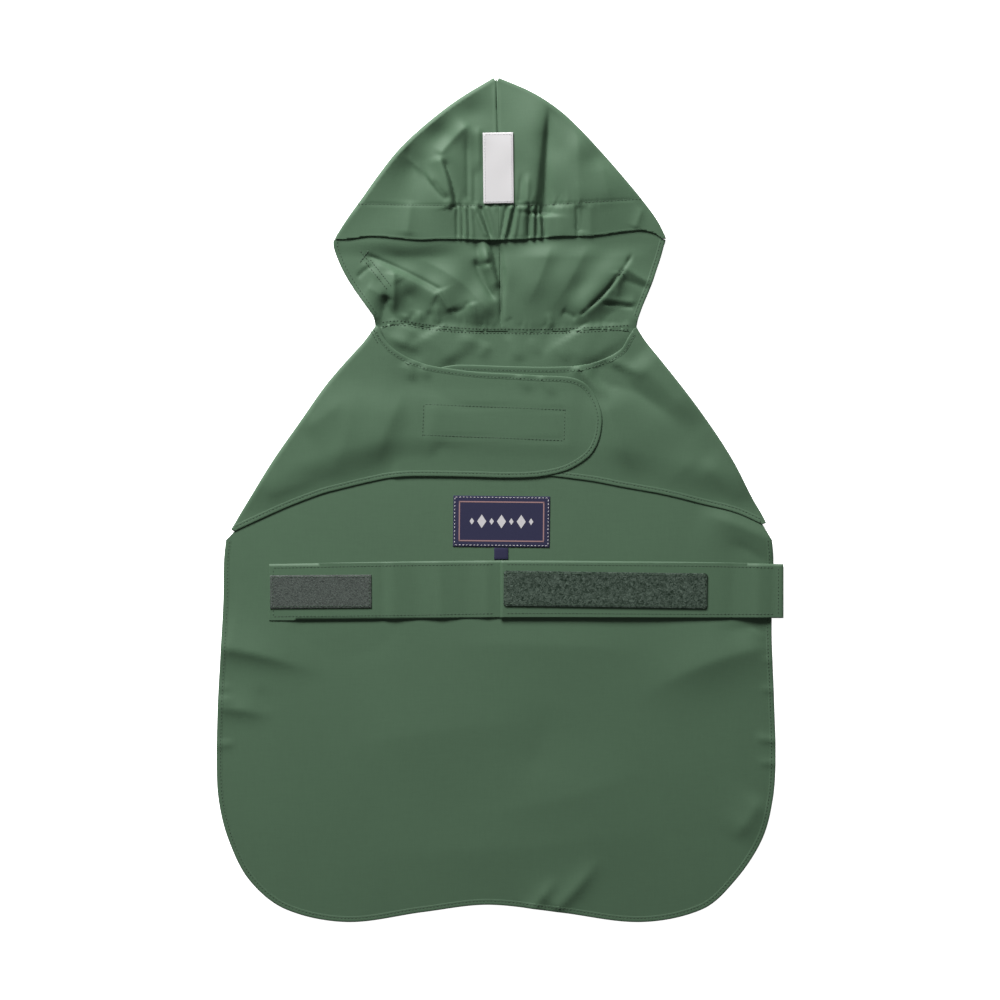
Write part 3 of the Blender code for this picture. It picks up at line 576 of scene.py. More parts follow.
#    x, y
LEFT_OPENING = (
    (-124.3, 195), (-124.9, 190.5), (-122, 181.5), (-118, 172.5), (-112.9, 163.5), (-106.9, 154.5),
    (-100.4, 145.5), (-95, 138))
RIGHT_OPENING = (
    (124.2, 195), (122.9, 190.5), (120.4, 181.5), (117.4, 172.5), (114.4, 163.5), (110.8, 154.5),
    (107, 145.5), (103.9, 137))
BRIM = (
    (-113, 195.6), (-100, 197.4), (-89.6, 197.3), (-74.6, 195.8), (-59.6, 194.6), (-44.6, 195.4),
    (-29.6, 195.4), (-14.6, 194.6), (0, 194.6), (15.4, 195.2), (30.4, 196.1), (45, 197.3),
    (60.4, 197.3), (75.4, 198.4), (90.4, 200.6), (105.4, 202), (116, 199.6))
#    y, x
CENTRE_SEAM = (
    (316.5, -3), (275, -1.9), (220, -1), (195, -0.4), (127.5, 0.4))

#    x, y, height
FRONT_HEIGHTS = (
    (-1.9, 315, 3.4), (-22, 302, 5.6), (-52, 283.5, 7.4), (-78.4, 258.8, 8), (-103, 225, 6.4),
    (-119.6, 198.8, 3.8), (-21, 290, 3.8), (-42.4, 273.8, 3.2), (-61, 249, 3), (-73, 225, 4.4),
    (-97, 213.8, 5.4), (-85.9, 197.3, 5.6), (-108.4, 199, 4.4), (-59.6, 198.8, 5.2),
    (-28, 275, 6.4), (-45, 257, 6.9), (-40, 240, 7.6), (-36, 225, 6.6), (-25, 262.5, 4.8),
    (-25, 243.8, 4.6), (-25, 225, 4.8), (-1.9, 300, 4.8), (-1, 277.5, 5.6), (-1, 251, 5.8),
    (-0.4, 225, 5.2), (19.1, 307.5, 3.8), (34, 292.5, 6.4), (31, 277.5, 8.4), (28.9, 255, 8.8),
    (26, 226.5, 7.8), (15.4, 251, 7), (45.4, 292.5, 4.8), (45, 262.5, 7), (58.9, 262.5, 8.6),
    (40, 228, 6.4), (60, 228, 8.6), (75.4, 261, 4.4), (82.9, 243, 6.6), (92, 217.5, 6),
    (105.4, 221, 3.8), (119, 202, 3), (0.4, 196.5, 4.2), (-29.6, 196.5, 4.4), (30.4, 196.5, 4.8),
    (56.6, 198, 6.2), (82.9, 200, 5.6), (105.4, 203, 4.2))
#    x0, y0, x1, y1, bow, left, right, height, in, out
HOOD_FRONT_CREASES = (
    (37.5, 302, 33.4, 212, -0.8, 6, 7, -3.6, 0.35, 0.03),
    (35, 300, 25, 214, 0, 4, 9, 1.4, 0.3, 0.04),
    (58, 286, 59, 214, 0, 9, 9, 0.7, 0.3, 0.3),
    (74, 258, 84, 216, 0, 9, 12, 0.8, 0.3, 0.4),
    (16.5, 247, 14.5, 222, 0, 1.6, 1.4, -0.7, 0.4, 0.1),
    (21, 246, 20.5, 221, 0, 2, 2.4, 0.9, 0.4, 0.1),
    (-22, 282, -46, 256.5, -1.5, 3.6, 4.5, 1.3, 0.2, 0.15),
    (-46.5, 259, -36, 219, 1.4, 3.6, 5, 1.5, 0.15, 0.03),
    (-43.4, 257, -32.6, 219, 1.6, 2.2, 1.6, -1.8, 0.2, 0.03),
    (-24.6, 279, -24.4, 222, 0, 1.6, 1.6, -0.7, 0.3, 0.1),
    (-78, 262, -40, 224, 3, 4, 3, 0.8, 0.4, 0.1),
    (-60.5, 253, -38, 222.5, -2.5, 1.6, 2.6, -1, 0.3, 0.2),
    (-50.5, 241, -37, 224, -1, 1.6, 1.6, -0.7, 0.3, 0.2),
    (-74, 272, -62, 240, 0, 5, 5, -0.7, 0.3, 0.4),
    (-66, 225, -70, 196, 0, 6, 6, 0.7, 0.2, 0.2),
    (-16, 281, -15.6, 244, 0, 2, 4, 0.8, 0.2, 0.3),
    (-19, 250, -19, 221, 0, 1.6, 1.6, -0.5, 0.3, 0.1),
    (62, 222, 60, 200, 0, 4, 3, -0.6, 0.2, 0.1),
    (108, 222, 101, 203, 0, 3, 4, 0.6, 0.3, 0.1))
#    x top, x brim, left, right, height
GATHERS = (
    (-31.9, -31.9, 0.9, 0.9, -1.5), (-30.4, -30.2, 0.8, 0.8, 0.8), (-28.7, -28.2, 1.1, 1.1, -1.7),
    (-25.9, -25.4, 1.7, 1.2, 1), (-23.9, -23.2, 0.9, 0.9, -0.7), (-21.9, -20.4, 1.3, 1, 0.7),
    (-19.9, -9.4, 1.4, 1.1, 1.5), (-15, -6.8, 1.3, 2.6, -1.7), (-10, -3.8, 2.4, 1.4, 0.8),
    (4.9, 0.9, 1.2, 1.2, -1.2), (8.6, 2.8, 1.3, 1.1, 1.5), (11.6, 6.2, 1.2, 1.3, -1.2),
    (14.4, 10.6, 1.4, 1.2, 1.1), (17.6, 16.8, 2.6, 2, 0.8), (22.1, 21.6, 1.3, 1.5, -2.1),
    (25.3, 24.6, 0.9, 0.8, 1.3), (27.2, 27.4, 1.1, 1, -1.9), (28.2, 30.6, 0.9, 0.9, 1.2),
    (32, 33.2, 1.6, 1.8, -1.9), (45, 45, 9, 10, 0.7), (57.2, 58, 1, 1.6, -0.9),
    (67.5, 67.5, 3, 3, 0.4))
BACK_HEIGHTS = (
    (-119.6, 191, 1.6), (-115.9, 178.5, 2.2), (-104.6, 157.5, 3.2), (-94, 138.8, 3.8),
    (-91, 150, 4.4), (-97, 180, 2.6), (-84.5, 146, 2), (-87, 136.5, 1.2), (-78.4, 168, 5),
    (-79, 150, 4.4), (-66, 151, 1.6), (-66, 162.5, 4.4), (-48, 156, 4.8), (-55.9, 139, 1.6),
    (-73, 136, 1.6), (-39, 143.5, 3.2), (-44.6, 135, 1.4), (-74.6, 129.8, 1), (-37, 129, 1),
    (0.4, 128, 1), (45.4, 128, 1), (75.4, 128, 1), (97, 126, 0.7), (-74.6, 179, 1.4),
    (-52, 169, 1.2), (-92, 187, 2.4), (-72, 190, 3.4), (-33.4, 167, 3.4), (-14.6, 152, 3.6),
    (-37, 185, 2.4), (-24, 153, 2.4), (-20.6, 146, 3.6), (-27, 136, 1.2), (-17, 168, 2),
    (-9.4, 178.5, 4.4), (-3, 161, 3.8), (5, 187.5, 2.4), (5, 157.5, 2.6), (5, 135, 1.4),
    (34, 184, 6), (22.9, 154, 4.2), (44, 180, 5.5), (34, 148, 3.7), (66, 187.5, 6.2),
    (53, 165, 5.6), (39.4, 145, 3.5), (77, 180, 5.7), (62, 160, 4.8), (49, 141, 2.6),
    (83, 172, 7.6), (69.5, 157, 7.6), (60.5, 143, 5.6), (87, 153, 3.3), (79, 138.8, 1.3),
    (94, 135, 0.9), (67.9, 131, 1.6), (94, 171, 6.2), (109, 161, 4.4), (105, 147, 3.2),
    (102, 135, 2.6), (116.6, 180, 2.6), (113, 195, 3.4), (121.9, 194, 1.8), (98, 187.5, 4.8))
HOOD_BACK_CREASES = (
    (-101, 184.5, -43.6, 157, 1.2, 1.1, 2.4, -1.2, 0.08, 0.05),
    (-96, 178, -46, 152.5, 1.2, 3, 9, 1, 0.15, 0.05),
    (-46, 157.6, -36, 141, -0.6, 1.2, 3, 1.6, 0.08, 0.2),
    (-42.5, 158.6, -33.5, 142, -0.6, 4, 1.2, 0.8, 0.08, 0.2),
    (-37.5, 141, -22.4, 149, -2.5, 1.6, 2.6, -0.9, 0.2, 0.2),
    (-79.5, 171.5, -79.5, 138, 0, 2.6, 4, 1.6, 0.08, 0.3),
    (-76.5, 166, -66, 147, 0, 5, 5, -0.9, 0.2, 0.4),
    (-85.6, 154, -88.8, 128, 1, 1.6, 1.6, -1.9, 0.1, 0.1),
    (-82, 152, -87, 145, 0, 2, 2, -1, 0.2, 0.2),
    (-60, 143, -61, 128, 0, 2.4, 2.4, 0.9, 0.3, 0.2),
    (-65, 142, -67, 129, 0, 1.6, 1.6, -0.6, 0.3, 0.2),
    (-53, 143, -52, 127, 0, 2, 2.4, -0.8, 0.3, 0.2),
    (-48, 148, -45, 127, 0, 2.4, 3, 0.9, 0.3, 0.2),
    (-70, 140, -73, 128, 0, 2, 2.4, 0.9, 0.3, 0.2),
    (-21, 148.5, -16.5, 130, 0, 3.2, 6, 1.2, 0.15, 0.6),
    (-107.5, 165.5, -95, 176, 1, 1.6, 1.6, -0.9, 0.2, 0.2),
    (-104, 178, -88, 164, 0, 3, 3, 0.6, 0.2, 0.3),
    (-100, 160, -86, 152, 0, 4, 4, 0.6, 0.2, 0.3),
    (-64, 182, -4, 136, 6, 6, 10, 1.6, 0.3, 0.15),
    (-19.5, 182, -2.5, 148, -1.5, 2.2, 2, -2.2, 0.2, 0.2),
    (-10, 200, -9.4, 176, 0, 2.4, 5, 1.6, 0.02, 0.2),
    (-9.8, 178, 0, 158, 0.6, 2, 5, 1.6, 0.2, 0.3),
    (-3.6, 200, 1.2, 150, 1.6, 2.2, 2.6, -3.6, 0.02, 0.4),
    (1.7, 176, 0.8, 129, 0.4, 1.3, 1.3, -1.9, 0.2, 0.1),
    (40, 198, 19, 144, 2, 6, 14, 1.2, 0.05, 0.4),
    (68, 196, 37, 142, 2, 7, 12, 1, 0.1, 0.4),
    (99.5, 185.5, 58, 137, 4, 1.2, 1.2, -1.3, 0.1, 0.1),
    (96, 180, 61, 139, 4.4, 2.6, 2.6, 0.5, 0.1, 0.1),
    (89, 171, 64, 143, 2.4, 1.2, 1.4, -0.9, 0.1, 0.2),
    (76, 147.2, 101, 144.3, 0, 1.2, 1.2, -1.1, 0.15, 0.1),
    (76, 151, 104, 148, 0, 4, 2.5, 1, 0.2, 0.2),
    (91, 176, 116, 161, -1, 3, 3, 1.2, 0.2, 0.2),
    (90, 166, 112, 158, 0, 3.4, 4, -1, 0.2, 0.2),
    (88, 172, 88, 150, 0, 3, 3, 0.8, 0.1, 0.3),
    (46, 142, 58, 136, 0, 3, 3, -1, 0.2, 0.2),
    (2.4, 131, 9.6, 136, 0, 1.2, 1.2, -0.8, 0.2, 0.2),
    (36, 142, 38, 127, 0, 2.4, 2.4, 0.7, 0.4, 0.2))
BACK_WEDGE = (
    (-8, 206, 0.6, 146, 1, 3.4, 3, -3.4, 0.02, 0.6),
    (-15, 204, -9, 166, 1, 3.6, 3, 1.2, 0.02, 0.5),
    (-19, 196, -6, 150, -1, 2.6, 3, -1.5, 0.2, 0.3))

HOOD_FRONT_DEPTH, HOOD_BACK_DEPTH, GATHER_DEPTH = 1.55, 1.2, 1.25
HOOD_BACK_SWELL = 0.86  # what BACK_HEIGHTS are multiplied by
FRONT_LOWEST = 2.2      # the front half's lowest height, over the back half
BACK_LOWEST = 0.35      # the back half's, over the surface, where it is folded
WEDGE_LOWEST = -2.6
SEAM_SINKS = 0.36       # how far the back half's edge sinks in below the neck seam
UNDER_BRIM = 1.0        # from the brim down to the back half, and further under the gathers
UNDER_GATHERS = 0.7
BRIM_FLAT = 0.55        # how much flatter the gathers are at the rolled brim
NECK_TUCK = 1.6         # how far the hood's edge runs below the neck seam,
CORNER_TUCK = 5.0       # and at its two corners
EDGE_PITCH = 2.0        # between the points of the hood's outline
FAR_ASIDE = 500.0       # beyond all of a half
CASING_LINE = ((-110.0, CASING_TOP + 1.0), (-60.0, CASING_TOP), (0.0, CASING_TOP - 0.4),
               (60.0, CASING_TOP + 1.6), (110.0, CASING_TOP + 5.0))
#    seed, start x, end x, spacing, height, reach
CASING_PUCKERS = ((3, -38, 76, 2.1, 0.6, 3.0), (4, -36, 60, 4.0, 0.5, 8.0))
HOOD_NECK_PUCKERS = (12, -90, 98, 4.2, 0.7, 6.0)


def gathers(x, y):
    """The elastic's small ridges and furrows, from the casing's stitch line to the brim."""
    down = (CASING_TOP - y) / (CASING_TOP - BRIM_Y)
    total = np.zeros_like(x)
    for x_top, x_brim, left, right, height in GATHERS:
        aside = x - x_top - (x_brim - x_top) * np.clip(down, 0.0, 1.2)
        away = np.abs(aside) / np.where(aside < 0, left, right)
        total += height * np.exp(-away ** 1.6)
    flattened = 1 - BRIM_FLAT * ease((BRIM_Y + 3.5 - y) / 4.0)
    return total * flattened * ease((CASING_TOP + 0.4 - y) / 3.0)


def hood_front_height(x, y):
    """Swollen between the folded sides, with creases, gathers and the centre seam's welt."""
    from_fold = np.minimum(x - smooth(HOOD_SIDES, y, LEFT), smooth(HOOD_SIDES, y, RIGHT) - x)
    inside = ease((from_fold - 1.0) / 10.0)
    furrow = -0.35 * bell(y - smooth(CASING_LINE, x), 1.0)
    fine, wide = (puckers(CASING_LINE, row, x, y) for row in CASING_PUCKERS)
    from_seam = x - smooth(CENTRE_SEAM, y)
    welt = 0.7 * bell(from_seam + 1.2, 0.9) - 0.6 * bell(from_seam - 0.7, 0.8)
    crisp = (HOOD_FRONT_DEPTH * creases(HOOD_FRONT_CREASES, x, y) + GATHER_DEPTH * gathers(x, y)
             + furrow + fine + wide)
    return np.maximum(form(FRONT_HEIGHTS, x, y) + inside * crisp
                      + welt * ease((y - 224.0) / 4.0) * ease((314.0 - y) / 8.0), FRONT_LOWEST)


def hood_back_height(x, y):
    """Sewn onto the back at the neck, folded between, pressed under the front at the brim, and
    flat on the surface inside the hood."""
    neck = puckers(NECK_SEAM, HOOD_NECK_PUCKERS, x, y)
    above_neck = y - smooth(NECK_SEAM, x)
    from_neck = ease((above_neck + 1.0) / 7.0)
    folds = (back_height(x, y) + 0.4) * (1 - from_neck) + from_neck * (
        neck + HOOD_BACK_SWELL * form(BACK_HEIGHTS, x, y)
        + HOOD_BACK_DEPTH * creases(HOOD_BACK_CREASES, x, y))
    tucked = SEAM_SINKS * ease((1.2 - above_neck) / 2.8)
    raised = np.maximum(folds, REST + BACK_LOWEST) - tucked
    below_brim = UNDER_BRIM + UNDER_GATHERS * np.exp(-((x / 36.0) ** 4))
    under_front = np.maximum(form(FRONT_HEIGHTS, x, y) - below_brim, REST)
    at_brim = ease((y - 181.0) / 13.0)
    wedge = np.maximum(creases(BACK_WEDGE, x, y), WEDGE_LOWEST)
    lies = np.maximum(raised * (1 - at_brim) + under_front * at_brim + wedge, REST)
    return lies + (REST - lies) * ease((y - 203.0) / 22.0)


def up_the_seam(start, end):
    """Points up the centre seam between two of its points."""
    ys = np.linspace(start[1], end[1], round((end[1] - start[1]) / EDGE_PITCH) + 1)[1:-1]
    return [(float(smooth(CENTRE_SEAM, y)), float(y)) for y in ys]


def hood_half(name, column):
    """One half of the hood, cut as its back and its front layer and folded at the side."""
    aside = -1.0 if column == LEFT else 1.0
    fold = fold_line(HOOD_SIDES, column, HOOD_SIDES[0][0], HOOD_CORNER, EDGE_PITCH)
    crown = (float(smooth(CENTRE_SEAM, fold[0][1])), HOOD_SIDES[0][0] - 0.4)
    neck_middle = (float(smooth(CENTRE_SEAM, 128.0)), 126.0)
    brim_middle = (float(smooth(CENTRE_SEAM, 195.0)), BRIM[8][1])
    neck = [(x, y - (CORNER_TUCK if abs(x) > 90 else NECK_TUCK)) for x, y in NECK_SEAM
            if (x - neck_middle[0]) * aside > 3.0]
    brim = [p for p in BRIM if (p[0] - brim_middle[0]) * aside > 3.0]
    opening = LEFT_OPENING if column == LEFT else RIGHT_OPENING
    if column == RIGHT:
        neck, brim = neck[::-1], brim[::-1]
    opening_edge = through([fold[-1]] + list(opening) + [neck[0]], EDGE_PITCH)[1:]
    neck_run = through(neck + [neck_middle], EDGE_PITCH)[1:]
    brim_run = through([fold[-1]] + brim + [brim_middle], EDGE_PITCH)[1:]
    half = bmesh.new()
    cut_cloth(half, fold + opening_edge + neck_run + up_the_seam(neck_middle, crown) + [crown],
              0, HOOD_PITCH)
    cut_cloth(half, fold + brim_run + up_the_seam(brim_middle, crown) + [crown], 1, HOOD_PITCH)
    fold_over(half, fold)
    bmesh.ops.recalc_face_normals(half, faces=half.faces)
    shape_cloth(half, hood_back_height, hood_front_height, hood_front_height, HOOD_SIDES,
                -aside * FAR_ASIDE)
    return make_piece(half, name, coat_cloth, CLOTH)


hood_left = hood_half("hood_left_cloth", LEFT)
hood_right = hood_half("hood_right_cloth", RIGHT)
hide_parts("hood_left")
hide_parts("hood_right")

#    from the brim, height above the middle of the cloth
BRIM_PROFILE = ((0.5, -0.5), (0.0, -0.4), (-0.15, -0.15), (0.0, 0.12), (0.6, 0.3), (1.6, 0.3),
                (2.6, 0.1))
NECK_ROWS = (0.9, -2.3)         # the two rows of stitches, above and below the seam


def neck_height(x, y):
    """The surface beside the neck seam: the hood above it and the back below it."""
    return np.where(y > smooth(NECK_SEAM, x) - 0.8, hood_back_height(x, y), back_height(x, y))


hood_hems, hood_thread = bmesh.new(), bmesh.new()
hem_band(hood_hems, through(BRIM[1:-1], 1.2), hood_front_height, BRIM_PROFILE)
for opening in (through(LEFT_OPENING, EDGE_PITCH), through(RIGHT_OPENING, EDGE_PITCH)[::-1]):
    hem_band(hood_hems, opening, hood_back_height, HEM_PROFILE)
    sew(hood_thread, beside(opening, HEM_STITCHES), hood_back_height, 21)
bmesh.ops.recalc_face_normals(hood_hems, faces=hood_hems.faces)
for row in NECK_ROWS:
    sew(hood_thread, [(x, y + row) for x, y in through(NECK_SEAM, 2.0)][2:-2], neck_height, 22,
        long=0.8)
sew(hood_thread, through(CASING_LINE, 2.0), hood_front_height, 23, lift=0.3)
# The double row of stitches on the left side's facing, a crossed tack above it and one on the
# right side, and a short double row at the left end of the neck seam
for line in (((-100.9, 178.5), (-84.4, 157.5)), ((-97.6, 180.6), (-81.6, 160.2)),
             ((-105.0, 187.0), (-98.0, 178.5)), ((-98.4, 187.0), (-104.4, 178.9)),
             ((88.0, 172.6), (93.4, 168.0)), ((88.4, 168.4), (92.8, 172.6)),
             ((-97.0, 127.0), (-91.5, 117.5)), ((-95.0, 128.0), (-89.0, 118.5))):
    height = hood_back_height if line[0][1] > 130 else left_flap_height
    sew(hood_thread, through(line, 2.0), height, 24, gap=2.2)
make_piece(hood_hems, "hood_hems", coat_cloth)
make_piece(hood_thread, "hood_stitches", thread_green_painted_shade)

# ------------------------------------------------------------------ belly strap
# A doubled strap sewn to the inside of the back, topstitched along both edges. Its right half
# passes the panel's edge and is folded back on itself.
STRAP_PITCH = 2.5
#    x, bottom y, top y
STRAP_EDGES = (
    (-173, -90.4, -48), (-52, -89, -45.8), (0, -88, -45.3), (90, -88.1, -45.9),
    (150, -88.5, -46.5), (212.5, -88.5, -48))
STRAP_END, STRAP_TURN, STRAP_BACK_TO = -173.0, 212.5, 0.0
STRAP_WALL = 1.0
STRAP_LOW = 1.3         # middle of the run that lies on the back
STRAP_HIGH = 3.0        # middle of the folded-back run
#    x0, y0, x1, y1, bow, left, right, height, in, out
STRAP_CREASES = (
    (-88, -40, -88, -96, 0, 3, 3, -0.5, 0.02, 0.02),
    (-80, -40, -79, -96, 0, 8, 7, 0.7, 0.02, 0.02),
    (-63, -40, -61, -96, 0, 6, 6, -0.5, 0.02, 0.02),
    (-46, -40, -44, -96, 0, 8, 6, 0.8, 0.02, 0.02),
    (-24, -40, -26, -96, 0, 7, 7, -0.4, 0.02, 0.02),
    (-10, -40, -10, -96, 0, 6, 4, 0.6, 0.02, 0.02))
FOLDED_RUN_CREASES = (
    (176, -40, 173, -96, 0, 9, 7, -0.6, 0.02, 0.02),
    (194, -40, 193, -96, 0, 7, 5, 0.7, 0.02, 0.02),
    (205, -40, 205, -96, 0, 3, 3, -0.4, 0.02, 0.02))

strap_cloth = cloth_material("strap_cloth", (0.041, 0.080, 0.045), 0.6)


def strap_low_height(x, y):
    return STRAP_LOW + np.maximum(creases(STRAP_CREASES, x, y), -0.3)


def strap_high_height(x, y):
    return STRAP_HIGH + creases(FOLDED_RUN_CREASES, x, y)


def strap_run(start, end, spacing):
    """The outline of a run of the strap between two x."""
    xs = np.linspace(start, end, round(abs(end - start) / spacing) + 1)
    low = [(float(x), float(smooth(STRAP_EDGES, x, 1))) for x in xs]
    high = [(float(x), float(smooth(STRAP_EDGES, x, 2))) for x in xs]
    return low + high[::-1]


strap_turn_inset = (STRAP_HIGH - STRAP_LOW) / 2 + STRAP_WALL / 2
turn_at = STRAP_TURN - strap_turn_inset
strap = bmesh.new()
cut_cloth(strap, strap_run(STRAP_END, turn_at, 5.0), 0, STRAP_PITCH)
cut_cloth(strap, strap_run(STRAP_BACK_TO, turn_at, 5.0), 1, STRAP_PITCH)
turn_over(strap, [e for e in strap.edges if all(abs(v.co.x - turn_at) < 0.001 and v.co.z < 0.5
                                                for v in e.verts)])
bmesh.ops.remove_doubles(strap, verts=strap.verts, dist=0.02)
bmesh.ops.recalc_face_normals(strap, faces=strap.faces)
strap_places = np.array([vert.co for vert in strap.verts])
low, high = (height(strap_places[:, 0], strap_places[:, 1])
             for height in (strap_low_height, strap_high_height))
for vert, low_z, high_z in zip(strap.verts, low, high):
    layer = vert.co.z
    angle = math.pi * (layer - 0.5)
    if 0 < layer < 1:
        vert.co.x += (STRAP_HIGH - STRAP_LOW) / 2 * math.cos(angle)
    vert.co.z = (low_z + high_z) / 2 + (high_z - low_z) / 2 * math.sin(angle)
belly_strap = make_piece(strap, "belly_strap_cloth", strap_cloth, STRAP_WALL)
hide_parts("belly_strap")

# Topstitching inside both edges and both ends of the runs
ON_STRAP = STRAP_WALL / 2 + 0.05
first_x, last_x = STRAP_END + 3.0, STRAP_TURN - 4.0
strap_thread = bmesh.new()
for column, inward in ((1, 3.0), (2, -3.0)):
    edge = [(float(x), float(smooth(STRAP_EDGES, x, column)) + inward)
            for x in np.arange(first_x, last_x, 5.0)]
    low_run = [point for point in edge if point[0] < STRAP_BACK_TO]
    high_run = [point for point in edge if point[0] > STRAP_BACK_TO]
    sew(strap_thread, low_run, strap_low_height, 31, lift=ON_STRAP)
    sew(strap_thread, high_run, strap_high_height, 32, lift=ON_STRAP)
sew(strap_thread, [(first_x, -87.0), (first_x, -51.0)], strap_low_height, 33, lift=ON_STRAP)
sew(strap_thread, [(last_x, -85.5), (last_x, -50.5)], strap_high_height, 34, lift=ON_STRAP)
make_piece(strap_thread, "belly_strap_stitches", thread_green_painted_shade)

# ------------------------------------------------------------------ hook and loop tapes
# Nylon tapes sewn down along their edges. The hook tape is grey-green and sparkles with its
# stiff hooks; the loop tape is a dark brushed pile. One of each lies hidden in the chest.
TAPE = 0.8              # thickness of the hook tape
LOOP_PILE = TAPE * 1.4
HIDDEN_TAPE = 0.24      # the chest's two tapes are pressed flat, and this far apart
HIDDEN_GAP = 0.26
TAPE_PITCH = 2.0
#    centre x, centre y, length, width, turn in degrees
STRAP_HOOK_TAPE = (-134.3, -68.7, 76.0, 25.0, 0.4)
STRAP_LOOP_TAPE = (79.0, -67.2, 152.5, 26.6, -0.8)


def patch_matrix(patch):
    return (Matrix.Translation((patch[0], patch[1], 0))
            @ Matrix.Rotation(math.radians(patch[4]), 4, "Z"))


def sewn_patch(name, patch, thickness, corner, height, material, node):
    """A flat rectangle of tape on a layer, with rounded corners and a soft top edge."""
    shape = bmesh.new()
    length, width = patch[2:4]
    bmesh.ops.create_grid(shape, x_segments=round(length / TAPE_PITCH),
                          y_segments=round(width / TAPE_PITCH), size=0.5,
                          matrix=Matrix.Diagonal((length, width, 1, 1)))
    if corner:
        tips = [v for v in shape.verts if abs(v.co.x) > length / 2 - 0.01
                and abs(v.co.y) > width / 2 - 0.01]
        bmesh.ops.bevel(shape, geom=tips, affect="VERTICES", offset=corner, segments=5,
                        profile=0.5, material=-1)
    rim = bmesh.ops.extrude_face_region(shape, geom=shape.faces[:])
    top = [v for v in rim["geom"] if isinstance(v, bmesh.types.BMVert)]
    bmesh.ops.translate(shape, vec=(0, 0, thickness), verts=top)
    bmesh.ops.recalc_face_normals(shape, faces=shape.faces)
    edges = [e for e in shape.edges if all(v.co.z > thickness / 2 for v in e.verts)
             and any(f.normal.z < 0.5 for f in e.link_faces)]
    bmesh.ops.bevel(shape, geom=edges, affect="EDGES", offset=thickness * 0.45, segments=2,
                    profile=0.5, material=-1)
    bmesh.ops.transform(shape, matrix=patch_matrix(patch), verts=shape.verts)
    places = np.array([v.co for v in shape.verts])
    for vert, lift in zip(shape.verts, height(places[:, 0], places[:, 1])):
        vert.co.z += lift
    piece = make_piece(shape, name, material)
    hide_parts(node)


def pile_material(name, dark, light, scale, roughness, bump_mm, sparkle):
    """Tangled or hooked nylon: specks of light and dark at the pile's own scale."""
    made = bpy.data.materials.new(name)
    made.use_nodes = True
    nodes, links = made.node_tree.nodes, made.node_tree.links
    shader = nodes["Principled BSDF"]
    shader.inputs["Roughness"].default_value = roughness
    shader.inputs["Specular IOR Level"].default_value = sparkle
    where = nodes.new("ShaderNodeTexCoord")
    pile = nodes.new("ShaderNodeTexNoise")
    pile.inputs["Scale"].default_value = scale
    pile.inputs["Detail"].default_value = 4.0
    pile.inputs["Roughness"].default_value = 0.65
    pile.inputs["Distortion"].default_value = 1.2
    links.new(where.outputs["Object"], pile.inputs["Vector"])
    ramp = nodes.new("ShaderNodeValToRGB")
    ramp.color_ramp.elements[0].position = 0.38
    ramp.color_ramp.elements[0].color = (*dark, 1.0)
    ramp.color_ramp.elements[1].position = 0.66
    ramp.color_ramp.elements[1].color = (*light, 1.0)
    links.new(pile.outputs["Fac"], ramp.inputs["Fac"])
    links.new(ramp.outputs["Color"], shader.inputs["Base Color"])
    bump = nodes.new("ShaderNodeBump")
    bump.inputs["Strength"].default_value = 0.9
    bump.inputs["Distance"].default_value = bump_mm * MM
    links.new(pile.outputs["Fac"], bump.inputs["Height"])
    links.new(bump.outputs["Normal"], shader.inputs["Normal"])
    return made


hook_tape = pile_material("hook_tape", (0.010, 0.015, 0.012), (0.056, 0.072, 0.061), 1000.0,
                          0.55, 0.5, 0.4)
loop_tape = pile_material("loop_tape", (0.008, 0.016, 0.010), (0.066, 0.090, 0.072), 560.0,
                          0.9, 0.8, 0.1)
sewn_patch("strap_hook_tape_hooks", STRAP_HOOK_TAPE, TAPE, 0.0,
           lambda x, y: strap_low_height(x, y) + STRAP_WALL / 2, hook_tape,
           "strap_hook_tape")
sewn_patch("strap_loop_tape_pile", STRAP_LOOP_TAPE, LOOP_PILE, 4.0,
           lambda x, y: strap_high_height(x, y) + STRAP_WALL / 2, loop_tape,
           "strap_loop_tape")
sewn_patch("chest_loop_tape_pile", CHEST_FASTENER, HIDDEN_TAPE, 0.0,
           lambda x, y: right_flap_height(x, y) + CLOTH / 2, loop_tape,
           "chest_loop_tape")
sewn_patch("chest_hook_tape_hooks", CHEST_FASTENER, HIDDEN_TAPE, 0.0,
           lambda x, y: right_flap_height(x, y) + CLOTH / 2 + HIDDEN_GAP, hook_tape,
           "chest_hook_tape")


def sew_round(thread, patch, inset, height, seed, lift, gap=2.7):
    """A rectangle of stitches, inset from a patch's edges."""
    x, y = patch[2] / 2 - inset, patch[3] / 2 - inset
    corners = [patch_matrix(patch) @ Vector((a, b, 0)) for a, b in
               ((-x, -y), (x, -y), (x, y), (-x, y), (-x, -y))]
    for start, end in zip(corners, corners[1:]):
        sew(thread, through([start.xy, end.xy], 4.0), height, seed, gap, lift=lift)


tape_thread = bmesh.new()
sew_round(tape_thread, STRAP_HOOK_TAPE, 1.6, strap_low_height, 41, STRAP_WALL / 2 + TAPE)
sew_round(tape_thread, STRAP_LOOP_TAPE, 1.8, strap_high_height, 42, STRAP_WALL / 2 + LOOP_PILE)
sew_round(tape_thread, CHEST_FASTENER, CHEST_STITCHES, left_flap_height, 43, CLOTH / 2 + 0.2)
make_piece(tape_thread, "tape_stitches", thread_green_painted_shade)

# ------------------------------------------------------------------ reflective strip
# A strip of grey retroreflective film on cloth, stitched over the hood's centre seam.
REFLECTIVE = (-1.3, 248.5, 22.7, 53.0, 0.6)

reflective = bpy.data.materials.new("reflective")
reflective.use_nodes = True
shader = reflective.node_tree.nodes["Principled BSDF"]
shader.inputs["Base Color"].default_value = (0.36, 0.353, 0.357, 1.0)
shader.inputs["Roughness"].default_value = 0.4


def strip_height(x, y):
    return form(FRONT_HEIGHTS, x, y) + 1.1


